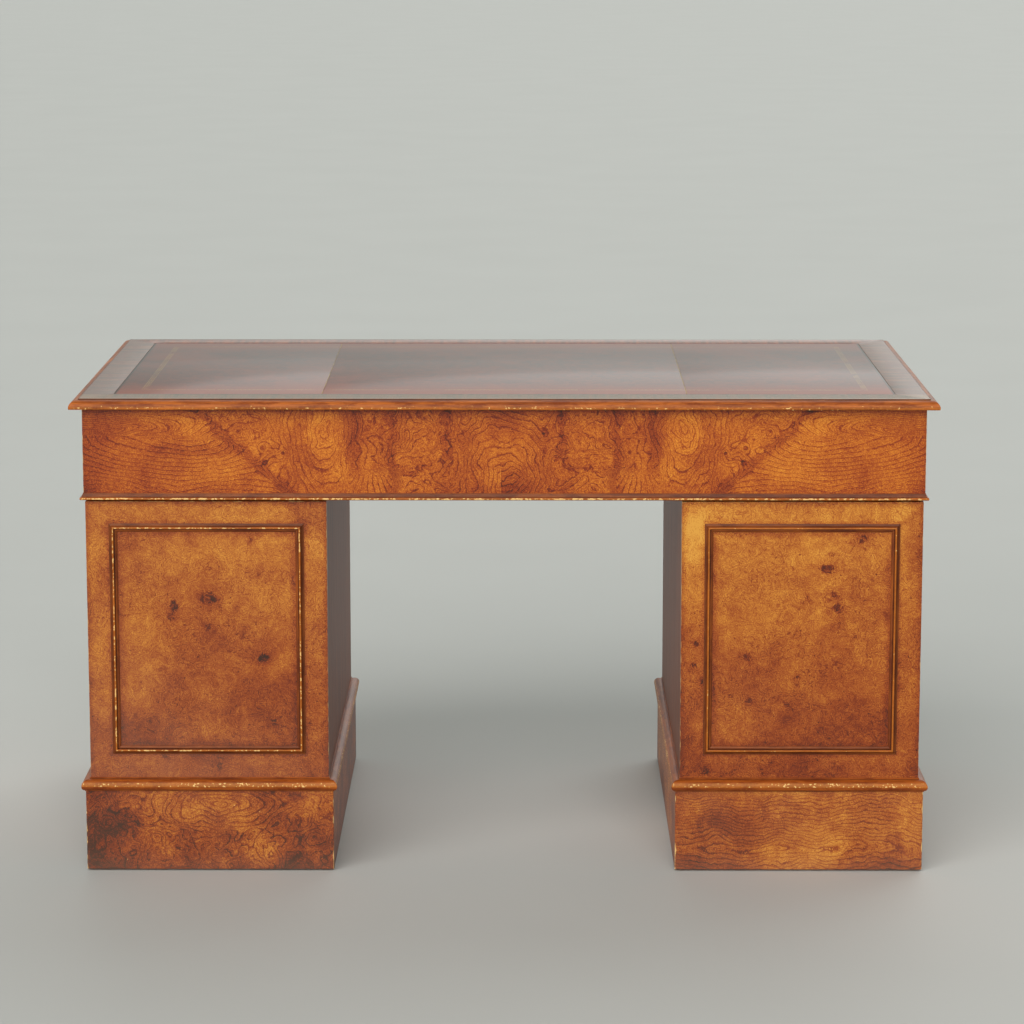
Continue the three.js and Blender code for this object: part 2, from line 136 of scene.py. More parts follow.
class Graph:
    """The nodes of one material, or world. Most methods add nodes and return their last value."""

    def __init__(self, name, fold=None, made_in=bpy.data.materials, place="Object"):
        self.made = made_in.new(name)
        self.made.use_nodes = True
        self.tree = self.made.node_tree
        self.tree.nodes.clear()
        self.place = self.value("ShaderNodeTexCoord", place)
        self.unfolded = self.place
        if fold:
            self.place = fold(self)

    def node(self, kind, inputs=None, **settings):
        """Adds a node. inputs has a number or a Value for each input, by its name or place."""
        made = self.tree.nodes.new(kind)
        for key, value in settings.items():
            setattr(made, key, value)
        for key, value in (inputs or {}).items():
            if isinstance(value, Value):
                self.tree.links.new(value.socket, made.inputs[key])
            else:
                made.inputs[key].default_value = value
        return made

    def value(self, kind, output, inputs=None, **settings):
        return Value(self, self.node(kind, inputs, **settings).outputs[output])

    def math(self, operation, *values, clamp=False):
        values = dict(enumerate(values))
        return self.value("ShaderNodeMath", 0, values, operation=operation, use_clamp=clamp)

    def chain(self, operation, values):
        result = values[0]
        for value in values[1:]:
            result = self.math(operation, result, value)
        return result

    def most(self, *values):
        return self.chain("MAXIMUM", values)

    def least(self, *values):
        return self.chain("MINIMUM", values)

    def fraction(self, value):
        return self.math("FRACT", value)

    def clamp(self, value):
        return self.math("ADD", value, 0.0, clamp=True)

    def inverse(self, value):
        return self.math("SUBTRACT", 1.0, value, clamp=True)

    def vector(self, operation, a, b):
        output = "Value" if operation == "DOT_PRODUCT" else "Vector"
        return self.value("ShaderNodeVectorMath", output, {0: a, 1: b}, operation=operation)

    def shift(self, seed):
        return self.vector("ADD", self.place, (seed, seed * 0.6, seed * 1.7))

    def split(self, vector):
        return [Value(self, out) for out in self.node("ShaderNodeSeparateXYZ", {0: vector}).outputs]

    def combine(self, x, y, z):
        return self.value("ShaderNodeCombineXYZ", 0, {0: x, 1: y, 2: z})

    def attribute(self, name, output="Fac"):
        return self.value("ShaderNodeAttribute", output, attribute_name=name)

    def noise(self, scale, at=None, detail=2.0, roughness=0.5, distortion=0.0, output="Fac"):
        inputs = {"Vector": self.place if at is None else at, "Scale": scale, "Detail": detail}
        inputs |= {"Roughness": roughness, "Distortion": distortion}
        return self.value("ShaderNodeTexNoise", output, inputs)

    def cells(self, scale, at, output="Distance", feature="F1"):
        return self.value("ShaderNodeTexVoronoi", output, {"Vector": at, "Scale": scale}, feature=feature)

    def warp(self, at, scale, reach):
        """Places pushed about by smooth eddies, seldom further than a quarter of reach."""
        away = self.vector("SUBTRACT", self.noise(scale, at, 1.5, output="Color"), (0.5, 0.5, 0.5))
        return self.vector("ADD", at, self.stretch((reach, reach, reach), away))

    def step(self, value, low, high):
        """0 at low, 1 at high and smooth between. With low above high it falls instead."""
        inputs = {"Value": value, "From Min": low, "From Max": high}
        return self.value("ShaderNodeMapRange", "Result", inputs, interpolation_type="SMOOTHSTEP")

    def part(self, value, low, high, share):
        """A step that ends at share and not at 1."""
        return self.step(value, low, high) * share

    def sway(self, value, reach):
        """A noise of 0 to 1, turned into a swing of half of reach to both sides."""
        return (value - 0.5) * reach

    def span(self, value, low, high):
        """Turns 0 to 1 into low to high."""
        return self.value("ShaderNodeMapRange", "Result", {"Value": value, "To Min": low, "To Max": high})

    def mix(self, share, a, b, how="MIX"):
        inputs = {0: share, 6: a, 7: b}
        return self.value("ShaderNodeMix", 2, inputs, data_type="RGBA", blend_type=how)

    def blend(self, share, a, b):
        return self.value("ShaderNodeMix", 0, {0: share, 2: a, 3: b}, data_type="FLOAT")

    def ramp(self, value, stops):
        made = self.node("ShaderNodeValToRGB", {0: value})
        elements = made.color_ramp.elements
        while len(elements) < len(stops):
            elements.new(0.5)
        for element, (position, colour) in zip(elements, stops):
            element.position = position
            element.color = colour
        return Value(self, made.outputs["Color"])

    def stretch(self, factors, at=None):
        return self.vector("MULTIPLY", self.place if at is None else at, factors)

    def spot(self, x, z, wide, tall, at=None):
        """Squared distance from (x, z), in units of a width and a height."""
        away = self.vector("SUBTRACT", self.place if at is None else at, (x, 0, z))
        away = self.stretch((1 / wide, 0, 1 / tall), away)
        return self.vector("DOT_PRODUCT", away, away)

    def blot(self, x, z, wide, tall, strength, edge=(1.3, 0.2), ragged=None, at=None):
        """strength in the middle of an ellipse and 0 outside it. ragged pushes its edge about."""
        near = self.spot(x, z, wide, tall, at)
        return self.part(near if ragged is None else near + ragged, *edge, strength)

    def bump(self, height, strength, distance, under=None):
        inputs = {"Height": height, "Strength": strength, "Distance": distance}
        if under is not None:
            inputs["Normal"] = under
        return self.value("ShaderNodeBump", 0, inputs)

    def finish(self, colour, roughness, normal=None, metallic=0.0, specular=0.5, coat=0.0):
        """Ends the material in one shader and returns it."""
        inputs = {"Base Color": colour, "Roughness": roughness, "Metallic": metallic}
        inputs |= {"Specular IOR Level": specular, "Coat Weight": coat, "Coat Roughness": COAT_ROUGHNESS}
        if normal is not None:
            inputs["Normal"] = normal
        self.node("ShaderNodeOutputMaterial", {0: self.value("ShaderNodeBsdfPrincipled", 0, inputs)})
        return self.made


# ---- veneers


def polish(g, grain):
    """French polish over a veneer: a slow ripple, with the pores just showing through."""
    ripple = g.bump(g.noise(16.0, detail=1.0), 0.2, 1.2 * MM)
    return g.bump(grain, 0.4, 0.08 * MM, under=ripple)


def rings(g, height, width=0.4):
    """A dark growth line wherever a height passes a whole number, sharp on one side."""
    saw = g.fraction(height)
    return g.step(saw, width, 0.04) * g.step(saw, 0.0, 0.06)


def ellipses(g, at, centre, spacing):
    """A height whose growth lines are ellipses round a centre, spaced (across, up)."""
    return g.math("SQRT", g.spot(*centre, *spacing, at))


def pips(g, scale, size, share, at):
    """Dark pin knots. The given share of the cells of a grid hold one."""
    chosen = g.math("GREATER_THAN", g.split(g.cells(scale, at, "Color"))[0], 1 - share)
    return g.part(g.cells(scale, at), size, size * 0.35, chosen)


def edge_distance(g, box):
    """How far a place on the faces of a box is from the nearest edge of it."""
    sides = zip(g.split(g.unfolded), *box)
    x, y, z = (g.least(value - low, high - value) for value, low, high in sides)
    return g.most(g.least(x, y), g.least(g.most(x, y), z))


def edge_wear(g, colour, box, chips=0.5, reach=4.2 * MM):
    """Handled edges: a darker line of old polish, and pale chips where it has gone."""
    away = edge_distance(g, box)
    rub = g.noise(70.0, g.unfolded, detail=3.0)
    dark = g.part(away, 5 * MM, 0.5 * MM, 0.35)
    colour = g.mix(dark * g.step(rub, 0.35, 0.6), colour, UMBER)
    chipped = g.step(away + rub * -reach, -reach * 0.38, -reach * 0.5)
    return g.mix(chipped * chips, colour, WORN_AND_HIGHLIGHT)


def burr(name, seed, box=None, knots=(), shade=None):
    """Burr veneer: curled growth lines and eyes over clouds of gold and russet."""
    g = Graph(name)
    at = g.shift(seed)
    eddied = g.warp(at, 26.0, 0.04)
    cloud = g.noise(9.0, at, detail=5.0, roughness=0.6, distortion=0.6)
    eddy = g.noise(36.0, eddied, detail=1.0)
    curl = g.noise(135.0, eddied, detail=2.0, roughness=0.6, distortion=1.2)
    pores = g.noise(560.0, at, detail=1.0)
    eyes = g.cells(44.0, eddied, feature="SMOOTH_F1")
    height = eyes * 2.4 + eddy * 13.0 + curl * 1.6
    tone = 0.69 + g.sway(cloud, 0.62) + g.sway(eddy, 0.3)
    tone = tone + g.sway(curl, 0.5) + g.sway(pores, 0.72)
    drift = (eddy + curl * 0.6 - 0.8) * 4.0
    for x, z, wide, tall, strength in knots:
        near = g.spot(x, z, wide, tall) + drift
        halo = g.blot(x, z, wide * 2.4, tall * 2.4, -0.1 * strength, (1.3, 0.1))
        core = g.step(near, 1.3, 0.0) * g.span(g.step(curl, 0.6, 0.42), 0.55, 1.0)
        tone = tone + core * (-0.46 * strength) + halo
        height += 3.0 / (near + 1.2)
    swirl = rings(g, height, 0.3) * g.span(g.step(g.noise(15.0, at), 0.36, 0.6), 0.3, 1.0)
    dots = g.most(pips(g, 58.0, 0.14, 0.2, at), pips(g, 125.0, 0.22, 0.14, at))
    dots = dots * g.step(eddy, 0.42, 0.52)
    tone = tone + swirl * -0.27 + dots * -0.34
    if shade:
        tone += shade(g) * -1.0
    colour = g.ramp(tone, WOOD_TONES)
    if box:
        colour = edge_wear(g, colour, box)
    return g, colour, curl


def veneer_finish(g, colour, grain, bare=None, specular=0.3, coat=0.06):
    """The polished face. Where bare is 1 the board shows unpolished timber instead."""
    roughness = g.span(grain, 0.34, 0.5)
    if bare is not None:
        along = g.stretch((1.0, 0.05, 1.0), g.unfolded)
        colour = g.mix(bare, colour, timber(g, along, LINING, LINING_DARK, 70.0))
        roughness = g.blend(bare, roughness, 0.65)
    return g.finish(colour, roughness, polish(g, grain), specular=specular, coat=coat)


def figured(name, figure, seed, fold, shade, tint=(1.0, 0.9, 0.8, 1.0), bold=0.34, width=0.26):
    """Figured veneer. Its growth lines follow figure(g), a height over the board's face."""
    g = Graph(name, fold)
    at = g.shift(seed)
    shimmer = g.noise(125.0, g.warp(at, 40.0, 0.03), detail=3.0, roughness=0.7, distortion=0.8)
    pores = g.noise(560.0, at, detail=1.0)
    cloud = g.noise(12.0, at, detail=4.0, roughness=0.55, distortion=0.4)
    height = figure(g) + shimmer * 0.8
    line = rings(g, height, width) * g.span(g.step(g.noise(26.0, at), 0.36, 0.58), 0.45, 1.0)
    faint = rings(g, height * 3.0) * g.step(g.noise(18.0, at), 0.3, 0.5)
    tone = 0.73 + g.sway(cloud, 0.75) + g.sway(shimmer, 0.5)
    dots = g.most(pips(g, 62.0, 0.15, 0.2, at), pips(g, 120.0, 0.2, 0.1, at))
    dots = dots * g.step(cloud, 0.44, 0.54)
    tone = tone + line * -bold + faint * -0.27 + dots * -0.3
    tone += g.sway(pores, 0.72)
    tone = g.most(tone, 0.34) + shade(g) * -1.0
    return g, g.mix(1.0, g.ramp(tone, WOOD_TONES), tint, "MULTIPLY"), shimmer


def timber(g, along, light, dark, lines):
    """Straight grain, from coordinates that are already stretched along it."""
    band = g.noise(lines, along, detail=3.0, roughness=0.6, distortion=0.2)
    fibre = g.noise(lines * 9, along, detail=1.0)
    share = g.part(band, 0.32, 0.68, 0.7) + g.sway(fibre, 0.9) + 0.1
    return g.mix(g.clamp(share), dark, light)


def straight(name, light, dark, lines=80.0, gloss=0.4, coat=0.1):
    """Straight-grained wood that runs across the desk."""
    g = Graph(name)
    fibre = g.noise(lines * 9, g.stretch((0.05, 1.0, 1.0)))
    colour = timber(g, g.stretch((0.05, 1.0, 1.0)), light, dark, lines)
    return g.finish(colour, g.span(fibre, gloss, gloss + 0.12), polish(g, fibre), coat=coat)


# ---- matched leaves of the frieze

frieze_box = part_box("frieze_back_board")
FRIEZE_MIDDLE = (frieze_box[0].z + frieze_box[1].z) / 2

# Dark bands: distance from the middle of the desk, half width, and the height that they end at.
FRIEZE_BANDS = [(0.236, 0.012, -0.03), (0.179, 0.012, -0.1), (0.092, 0.009, -0.01)]
# Eyes in both leaves: distance from the middle, height, radius.
FRIEZE_EYES = [(0.379, -0.014, 0.0055), (0.42, 0.037, 0.0035), (0.382, 0.01, 0.004), (0.35, 0.002, 0.003)]
# Smaller knots in one leaf only: across, height, radius.
FRIEZE_KNOTS = [(-0.212, 0.052, 0.0035), (0.062, 0.033, 0.003), (-0.127, -0.018, 0.004), (0.1, 0.004, 0.005)]


def book_match(g):
    """Coordinates folded at the middle of the desk, as two leaves off one flitch are laid."""
    x, y, z = g.split(g.unfolded)
    return g.combine(abs(x), y, z - FRIEZE_MIDDLE)


def end_fold(g):
    """The frieze's ends, with their width laid along the first coordinate."""
    x, y, z = g.split(g.unfolded)
    return g.combine(y + 0.36, x * 0.2, z - FRIEZE_MIDDLE)


def slant(g):
    """Distance outwards from the slanting plain band between the cathedrals and the burl."""
    u, _, v = g.split(g.place)
    return u + v * -1.07 - 0.409


def frieze_figure(g):
    """Long cathedrals towards the ends, a heart, and burl between them and in the middle."""
    u, _, v = g.split(g.place)
    slip = g.vector("SUBTRACT", g.warp(g.unfolded, 26.0, 0.03), g.unfolded)
    at = g.vector("ADD", g.warp(g.place, 15.0, 0.07), slip)
    across = g.split(at)[0]
    easy = g.warp(g.place, 7.0, 0.1)
    bowl = ellipses(g, easy, (0.49, 0.05), (0.022, 0.0078))
    arrow = ellipses(g, easy, (0.62, 0.052), (0.021, 0.0036))
    long = g.blend(g.step(v + u * -0.04, 0.003, 0.011), bowl, arrow)
    burl = g.noise(24.0, at, detail=1.0) * 9.0 + 3.5
    heart = ellipses(g, at, (0.285, 0.045), (0.0085, 0.021))
    loose = g.warp(g.warp(g.unfolded, 22.0, 0.05), 8.0, 0.07)
    circle = (-0.004, FRIEZE_MIDDLE - 0.032)
    middle = ellipses(g, loose, circle, (0.0095, 0.011))
    height = g.blend(g.step(u, 0.05, 0.09), middle, burl)
    height = g.blend(g.step(u, 0.19, 0.23), height, heart)
    height = g.blend(g.step(across, 0.335, 0.365), height, burl)
    height = g.blend(g.step(slant(g), -0.014, 0.014), height, long)
    spread = (u - 0.213) / (0.004 + (v + 0.018) * -0.22)
    fan = g.step(v, -0.022, -0.034) * g.step(abs(u - 0.21), 0.05, 0.03)
    height = g.blend(fan, height, spread + g.split(at)[0] * 20.0)
    for away, above, radius in FRIEZE_EYES:
        height += 3.0 / (g.spot(away, above, radius * 2, radius * 2) + 1.0)
    return height


def frieze_shade(g):
    """Redder at the ends and the bottom, with dark bands between golden burls; the left end is darker than
    the right partly as painted shade, and a painted shadow lies under the top's edge.
    """
    u, _, v = g.split(g.place)
    x = g.split(g.unfolded)[0]
    wander = g.sway(g.noise(30.0), 0.04)
    # Both ends darker, the left more, and the right's outer part lighter: partly the veneer, partly painted
    # light, the right side being lit brighter.
    dark = g.part(x, -0.58, -0.665, 0.15) + g.part(x, 0.62, 0.67, 0.08)
    dark = dark + g.part(u, 0.32, 0.22, 0.05) + g.part(x, 0.35, 0.45, -0.05)
    for away, width, lowest in FRIEZE_BANDS:
        off = abs(u + wander - away)
        band = g.step(off, width, width * 0.4) * g.step(v, lowest - 0.02, lowest + 0.01)
        dark += band * 0.15
    plain = g.step(abs(slant(g) + wander), 0.014, 0.006)
    dark += plain * 0.16
    for away, above, radius in FRIEZE_EYES:
        dark += g.blot(away, above, radius, radius, 0.36, ragged=wander * 30.0)
    level = g.vector("ADD", g.unfolded, (0, 0, -FRIEZE_MIDDLE))
    for across, above, radius in FRIEZE_KNOTS:
        dark += g.blot(across, above, radius, radius * 0.7, 0.24, (1.6, 0.0), wander * 60.0, level)
    dark += g.blot(-0.5, 0.006, 0.09, 0.012, 0.12, ragged=wander * 20.0, at=level)
    heart = g.blot(0.285, 0.035, 0.034, 0.045, -0.12)
    dark = dark + heart + g.blot(0.385, 0.035, 0.03, 0.03, -0.08, (1.4, 0.2))
    seam = g.step(x, -0.0055, -0.0045)
    below = g.step(v, -0.02, -0.03)
    patch = seam * below * g.step(x, 0.05, 0.02)
    repaired = g.inverse(seam) * below * g.step(x, -0.035, -0.025)
    dark = dark + patch * 0.16 + repaired * -0.06
    # Painted shadow under the top's overhanging edge, darkest in a thin line just below it.
    shadow_under_top = g.part(v, 0.055, 0.075, 0.1) + g.part(v, 0.065, 0.072, 0.18)
    return dark + g.part(v, -0.03, -0.075, 0.1) + shadow_under_top


def end_figure(g):
    at = g.warp(g.warp(g.place, 12.0, 0.08), 40.0, 0.02)
    return ellipses(g, at, (0.38, 0.06), (0.022, 0.0065))


def end_shade(g):
    return 0.04 + g.noise(8.0, detail=2.0) * 0.14


# ---- plinths


def plinth_fold(g):
    """Carries the plinth's figure round its corners, so that it runs on from face to face."""
    x, y, z = g.split(g.unfolded)
    return g.combine(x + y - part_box("left_pedestal_plinth")[0].y, y * 0.3, z)


def plinth(side, seed, rings_at, spacing, ruffle, reach, murk_depth, glow, gloom, bold):
    """Figured veneer on the outside, with bare timber inside and under it.

    Growth rings round rings_at give way to burl, reach rings out, and waver by ruffle. glow
    lightens their middle, gloom darkens the whole and murk_depth its clouds.
    """
    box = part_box(f"{side}_pedestal_plinth")
    low, high = box
    centre = ((low.x + high.x) / 2 + rings_at[0], rings_at[1])

    def figure(g):
        at = g.warp(g.warp(g.place, 14.0, 0.05), 50.0, ruffle)
        oval = ellipses(g, at, centre, spacing)
        burl = g.noise(24.0, at, detail=1.5) * 11.0 + 1.5
        return g.blend(g.step(oval, reach, reach + 3.0), oval, burl)

    def shade(g):
        murk = g.noise(11.0, g.shift(seed + 5), detail=5.0, roughness=0.65)
        u, _, v = g.split(g.place)
        near_end = g.step(u + v * 0.5 - low.x, 0.2, 0.05)
        far_corner = g.blot(high.x + 0.02, -0.02, 0.1, 0.07, 0.24, (1.5, 0.1))
        foot = g.step(v, 0.04, 0.0)
        golden = g.blot(*centre, 0.07, 0.04, -glow, (1.6, 0.2))
        dark = g.part(murk, 0.46, 0.6, murk_depth) + near_end * 0.3
        dark = dark + far_corner + foot * 0.14
        rear = g.step(g.split(g.unfolded)[1], low.y, high.y * 0.6)
        return dark + golden + gloom + rear * 0.1

    name = f"{side}_plinth_veneer"
    g, colour, grain = figured(name, figure, seed, plinth_fold, shade, (1.0, 0.98, 0.96, 1.0), bold, 0.38)
    colour = edge_wear(g, colour, box, 0.75, 8 * MM)
    dust = pips(g, 75.0, 0.085, 0.06, g.shift(seed + 1))
    colour = g.mix(dust * 0.8, colour, WORN_AND_HIGHLIGHT)
    x, y, z = g.split(g.unfolded)
    # A film of dust, heavier near the floor, which also paints a sheen of reflected light.
    low_down = g.step(z + g.noise(60.0, detail=3.0) * 0.03, 0.06, 0.01)
    film = g.noise(14.0, detail=3.0) * 0.16 + low_down * 0.12
    colour = g.mix(film, colour, DUST_AND_SHEEN)
    skin = g.least(
        g.least(x - low.x, high.x - x),
        g.least(y - low.y, high.y - y),
    )
    bare = g.most(g.step(skin, 1.0 * MM, 1.5 * MM), g.step(z, 1.2 * MM, 0.8 * MM))
    return veneer_finish(g, colour, grain, bare)


# ---- back panels

# Dark knots: distance from the pedestal's middle, height, two radii, and strength.
LEFT_KNOTS = [
    (-0.052, 0.434, 0.007, 0.012, 0.9), (-0.058, 0.417, 0.006, 0.007, 0.7),
    (-0.037, 0.404, 0.004, 0.007, 0.6), (0.000, 0.447, 0.012, 0.010, 0.75),
    (0.004, 0.440, 0.007, 0.006, 0.5), (0.0865, 0.351, 0.009, 0.007, 0.9),
    (0.001, 0.401, 0.005, 0.006, 0.5), (0.052, 0.386, 0.007, 0.009, 0.4),
    (0.069, 0.536, 0.005, 0.009, 0.5), (0.062, 0.314, 0.008, 0.006, 0.45),
    (0.104, 0.245, 0.007, 0.006, 0.5), (0.042, 0.225, 0.008, 0.005, 0.4),
    (0.119, 0.228, 0.008, 0.006, 0.5), (-0.072, 0.332, 0.008, 0.008, 0.3),
    (-0.129, 0.419, 0.007, 0.004, 0.4), (-0.072, 0.189, 0.010, 0.006, 0.6),
    (0.017, 0.174, 0.006, 0.007, 0.6),
]
RIGHT_KNOTS = [
    (0.095, 0.543, 0.009, 0.008, 0.75), (0.094, 0.561, 0.004, 0.003, 0.6),
    (0.0395, 0.4945, 0.013, 0.008, 0.85), (0.048, 0.519, 0.005, 0.004, 0.6),
    (0.007, 0.445, 0.015, 0.007, 0.45), (0.052, 0.454, 0.009, 0.006, 0.8),
    (0.058, 0.432, 0.009, 0.008, 0.9), (0.1126, 0.377, 0.0045, 0.004, 0.7),
    (0.0866, 0.386, 0.003, 0.003, 0.6), (-0.129, 0.371, 0.004, 0.004, 0.7),
    (-0.086, 0.352, 0.007, 0.007, 0.5), (-0.108, 0.289, 0.009, 0.006, 0.6),
    (-0.083, 0.282, 0.005, 0.005, 0.45), (-0.020, 0.271, 0.011, 0.009, 0.35),
    (-0.004, 0.3195, 0.003, 0.003, 0.6), (-0.0055, 0.3065, 0.003, 0.003, 0.7),
    (-0.1665, 0.374, 0.004, 0.005, 0.7), (-0.169, 0.338, 0.008, 0.006, 0.8),
    (-0.158, 0.313, 0.004, 0.004, 0.6), (-0.152, 0.165, 0.008, 0.007, 0.6),
]
# Wide shadows, and lights where the strength is below 0, laid out like the knots.
LEFT_CLOUDS = [
    (0.173, 0.592, 0.045, 0.05, 0.16), (0.10, 0.48, 0.06, 0.08, -0.08),
    (-0.055, 0.51, 0.07, 0.035, -0.05), (-0.03, 0.368, 0.13, 0.03, 0.07),
    (-0.11, 0.306, 0.055, 0.045, -0.07), (0.10, 0.275, 0.08, 0.055, 0.09),
    (-0.11, 0.23, 0.065, 0.03, 0.1), (0.173, 0.38, 0.025, 0.06, 0.08),
]
RIGHT_CLOUDS = [
    (-0.172, 0.536, 0.028, 0.055, -0.2), (0.185, 0.56, 0.025, 0.08, 0.16),
    (-0.07, 0.42, 0.08, 0.055, -0.07), (-0.172, 0.19, 0.045, 0.035, 0.08),
    (-0.025, 0.27, 0.055, 0.035, 0.08), (-0.172, 0.33, 0.022, 0.08, 0.03),
    (0.09, 0.24, 0.06, 0.03, 0.08), (0.18, 0.33, 0.028, 0.2, 0.09),
    (0.0, 0.168, 0.2, 0.02, 0.1),
]


def back_panel(side, seed, knots, clouds, at_top, at_foot, dust_and_sheen_share):
    """The burr back of a pedestal, golden at the top and redder below, partly as painted shade, and darker
    by its moulding with painted shade and soiling.
    """
    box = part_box(f"{side}_pedestal_back_panel")
    low, high = box
    frame_low, frame_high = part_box(f"{side}_pedestal_panel_moulding")
    middle = (low.x + high.x) / 2

    def shade(g):
        x, _, z = g.split(g.place)
        # Darker towards the foot: partly the veneer's redder colour, partly painted shade as the light falls
        # off downwards.
        fall = g.blend(g.step(z, high.z, low.z), at_top, at_foot)
        out_x = abs(x - middle) - (frame_high.x - frame_low.x) / 2
        out_z = abs(z - (frame_low.z + frame_high.z) / 2) - (frame_high.z - frame_low.z) / 2
        outside = g.most(out_x, out_z)
        wander = g.sway(g.noise(30.0), 12 * MM)
        # A darker band each side of the moulding: painted shade in its recess, and soiling.
        by_outside = g.step(outside + wander, 7 * MM, 0.0) * g.step(outside, -2 * MM, 0)
        by_inside = g.step(outside + wander, -26 * MM, -14 * MM)
        inside = g.step(outside, 0.0, -2 * MM)
        fall += inside * 0.05
        rim = g.part(edge_distance(g, box), 12 * MM, 1 * MM, 0.12)
        dark = fall + by_outside * 0.12 + by_inside * inside * 0.14 + rim
        for off, up, wide, tall, strength in clouds:
            dark += g.blot(middle + off, up, wide, tall, strength, (1.4, 0.0), wander * 60.0)
        return dark

    placed = [(middle + x, z, wide, tall, strength) for x, z, wide, tall, strength in knots]
    g, colour, grain = burr(f"{side}_panel_veneer", seed, box, placed, shade)
    x, _, z = g.split(g.place)
    # A film of dust and painted sheen, heavier towards the lower left.
    corner = g.step(z + (x - low.x) * 0.5, 0.5, 0.2)
    film = (corner + 0.25) * g.noise(9.0, detail=3.0) * dust_and_sheen_share
    return veneer_finish(g, g.mix(film, colour, DUST_AND_SHEEN), grain)


def side_shade(g):
    """Redder towards the foot, with a few round shadows."""
    z = g.split(g.place)[2]
    eyes = g.step(g.cells(7.0, g.warp(g.place, 20.0, 0.05)), 0.16, 0.04)
    return g.blend(g.step(z, 0.6, 0.15), 0.02, 0.16) + eyes * 0.3


def side_veneer(name, outer):
    """A pedestal's side: burr outside, plain dark walnut towards the kneehole, bare within."""
    low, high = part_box(name)
    if outer:
        g, colour, grain = burr(f"{name}_veneer", low.x * 7, (low, high), (), side_shade)
        # A thin film of dust and painted sheen.
        colour = g.mix(0.06, colour, DUST_AND_SHEEN)
    else:
        g = Graph(f"{name}_veneer")
        lengthwise = g.stretch((1.0, 1.0, 0.05))
        grain = g.noise(600.0, lengthwise, detail=3.0)
        colour = timber(g, lengthwise, WALNUT, WALNUT_SHADE, 60.0)
        colour = edge_wear(g, colour, (low, high))
    faces_right = (low.x + high.x > 0) == outer
    x, y, _ = g.split(g.unfolded)
    depth = abs(x - (low.x if faces_right else high.x))
    front = g.step(y, high.y - 1.5 * MM, high.y - 1.0 * MM)
    bare = g.step(depth, 1.0 * MM, 0.5 * MM) * g.inverse(front)
    if outer:
        return veneer_finish(g, colour, grain, bare)
    return veneer_finish(g, colour, grain, bare, 0.12, 0.0)


def rail_veneer(name):
    """A frame whose front edge is faced with polished walnut over bare timber."""
    low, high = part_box(name)
    g = Graph(f"{name}_wood")
    across = g.stretch((0.05, 1.0, 1.0))
    colour = timber(g, across, RIM_WOOD, RIM_WOOD_DARK, 90.0)
    y = g.split(g.unfolded)[1]
    bare = g.step(y, high.y - 1.0 * MM, high.y - 1.6 * MM)
    return veneer_finish(g, colour, g.noise(700.0, across), bare)


# ---- other materials


def moulding_material(name, light=RIM_WOOD, dark=RIM_WOOD_DARK, wear_and_light=0.5, cross=False, coat=0.06):
    """Wood of a mitred length: attribute "grain" is (along, out, up); the other attribute is above 0
    on rubbed ridges, worn pale with a painted highlight, and below 0 in hollows, darkened with
    painted shade and soiling.

    Wood that is laid across the length is a little paler along the desk's panelled back.
    """
    g = Graph(name)
    grain = g.attribute("grain", "Vector")
    stretched = g.stretch((1.0, 0.06, 1.0) if cross else (0.06, 1.0, 1.0), grain)
    colour = timber(g, stretched, light, dark, 130.0 if cross else 150.0)
    mottle = g.noise(34.0, g.stretch((0.6, 2.0, 2.0), grain), detail=5.0, roughness=0.7)
    colour = g.mix(g.part(mottle, 0.54, 0.36, 0.65), colour, UMBER)
    ridge = g.attribute("wear_and_light")
    # Hollows, marked below 0, get painted shade and soiling.
    dirt_and_shade = ridge + g.sway(mottle, 0.8)
    colour = g.mix(g.part(dirt_and_shade, 0.0, -1.0, 0.75), colour, GRIME_AND_SHADE)
    rub = g.noise(34.0, g.stretch((1.0, 4.0, 4.0), grain), detail=4.0, roughness=0.7)
    rub = g.blend(0.62, rub, g.noise(230.0, grain, detail=2.0))
    # Ridges turn golden: partly rubbed polish, partly a painted highlight.
    glow = g.step(ridge + g.sway(rub, 1.5), 0.3, 1.2)
    colour = g.mix(glow * g.step(ridge, 0.0, 0.3) * 0.55, colour, HONEY)
    # Rubbed through to pale wood on the ridges, partly a painted highlight.
    pale = g.step(ridge + g.sway(rub, 5.0), 1.9 - wear_and_light, 2.1 - wear_and_light)
    pale = pale * g.step(ridge, 0.3, 0.6)
    colour = g.mix(pale * 0.85, colour, WORN_AND_HIGHLIGHT)
    if cross:
        paler_at_back = g.step(g.split(g.place)[1], -285 * MM, -300 * MM)
        colour = g.mix(paler_at_back * 0.12, colour, WORN_AND_HIGHLIGHT)
    fibre = g.noise(900.0, stretched)
    return g.finish(colour, g.span(fibre, 0.34, 0.48), polish(g, fibre), specular=0.2, coat=coat)


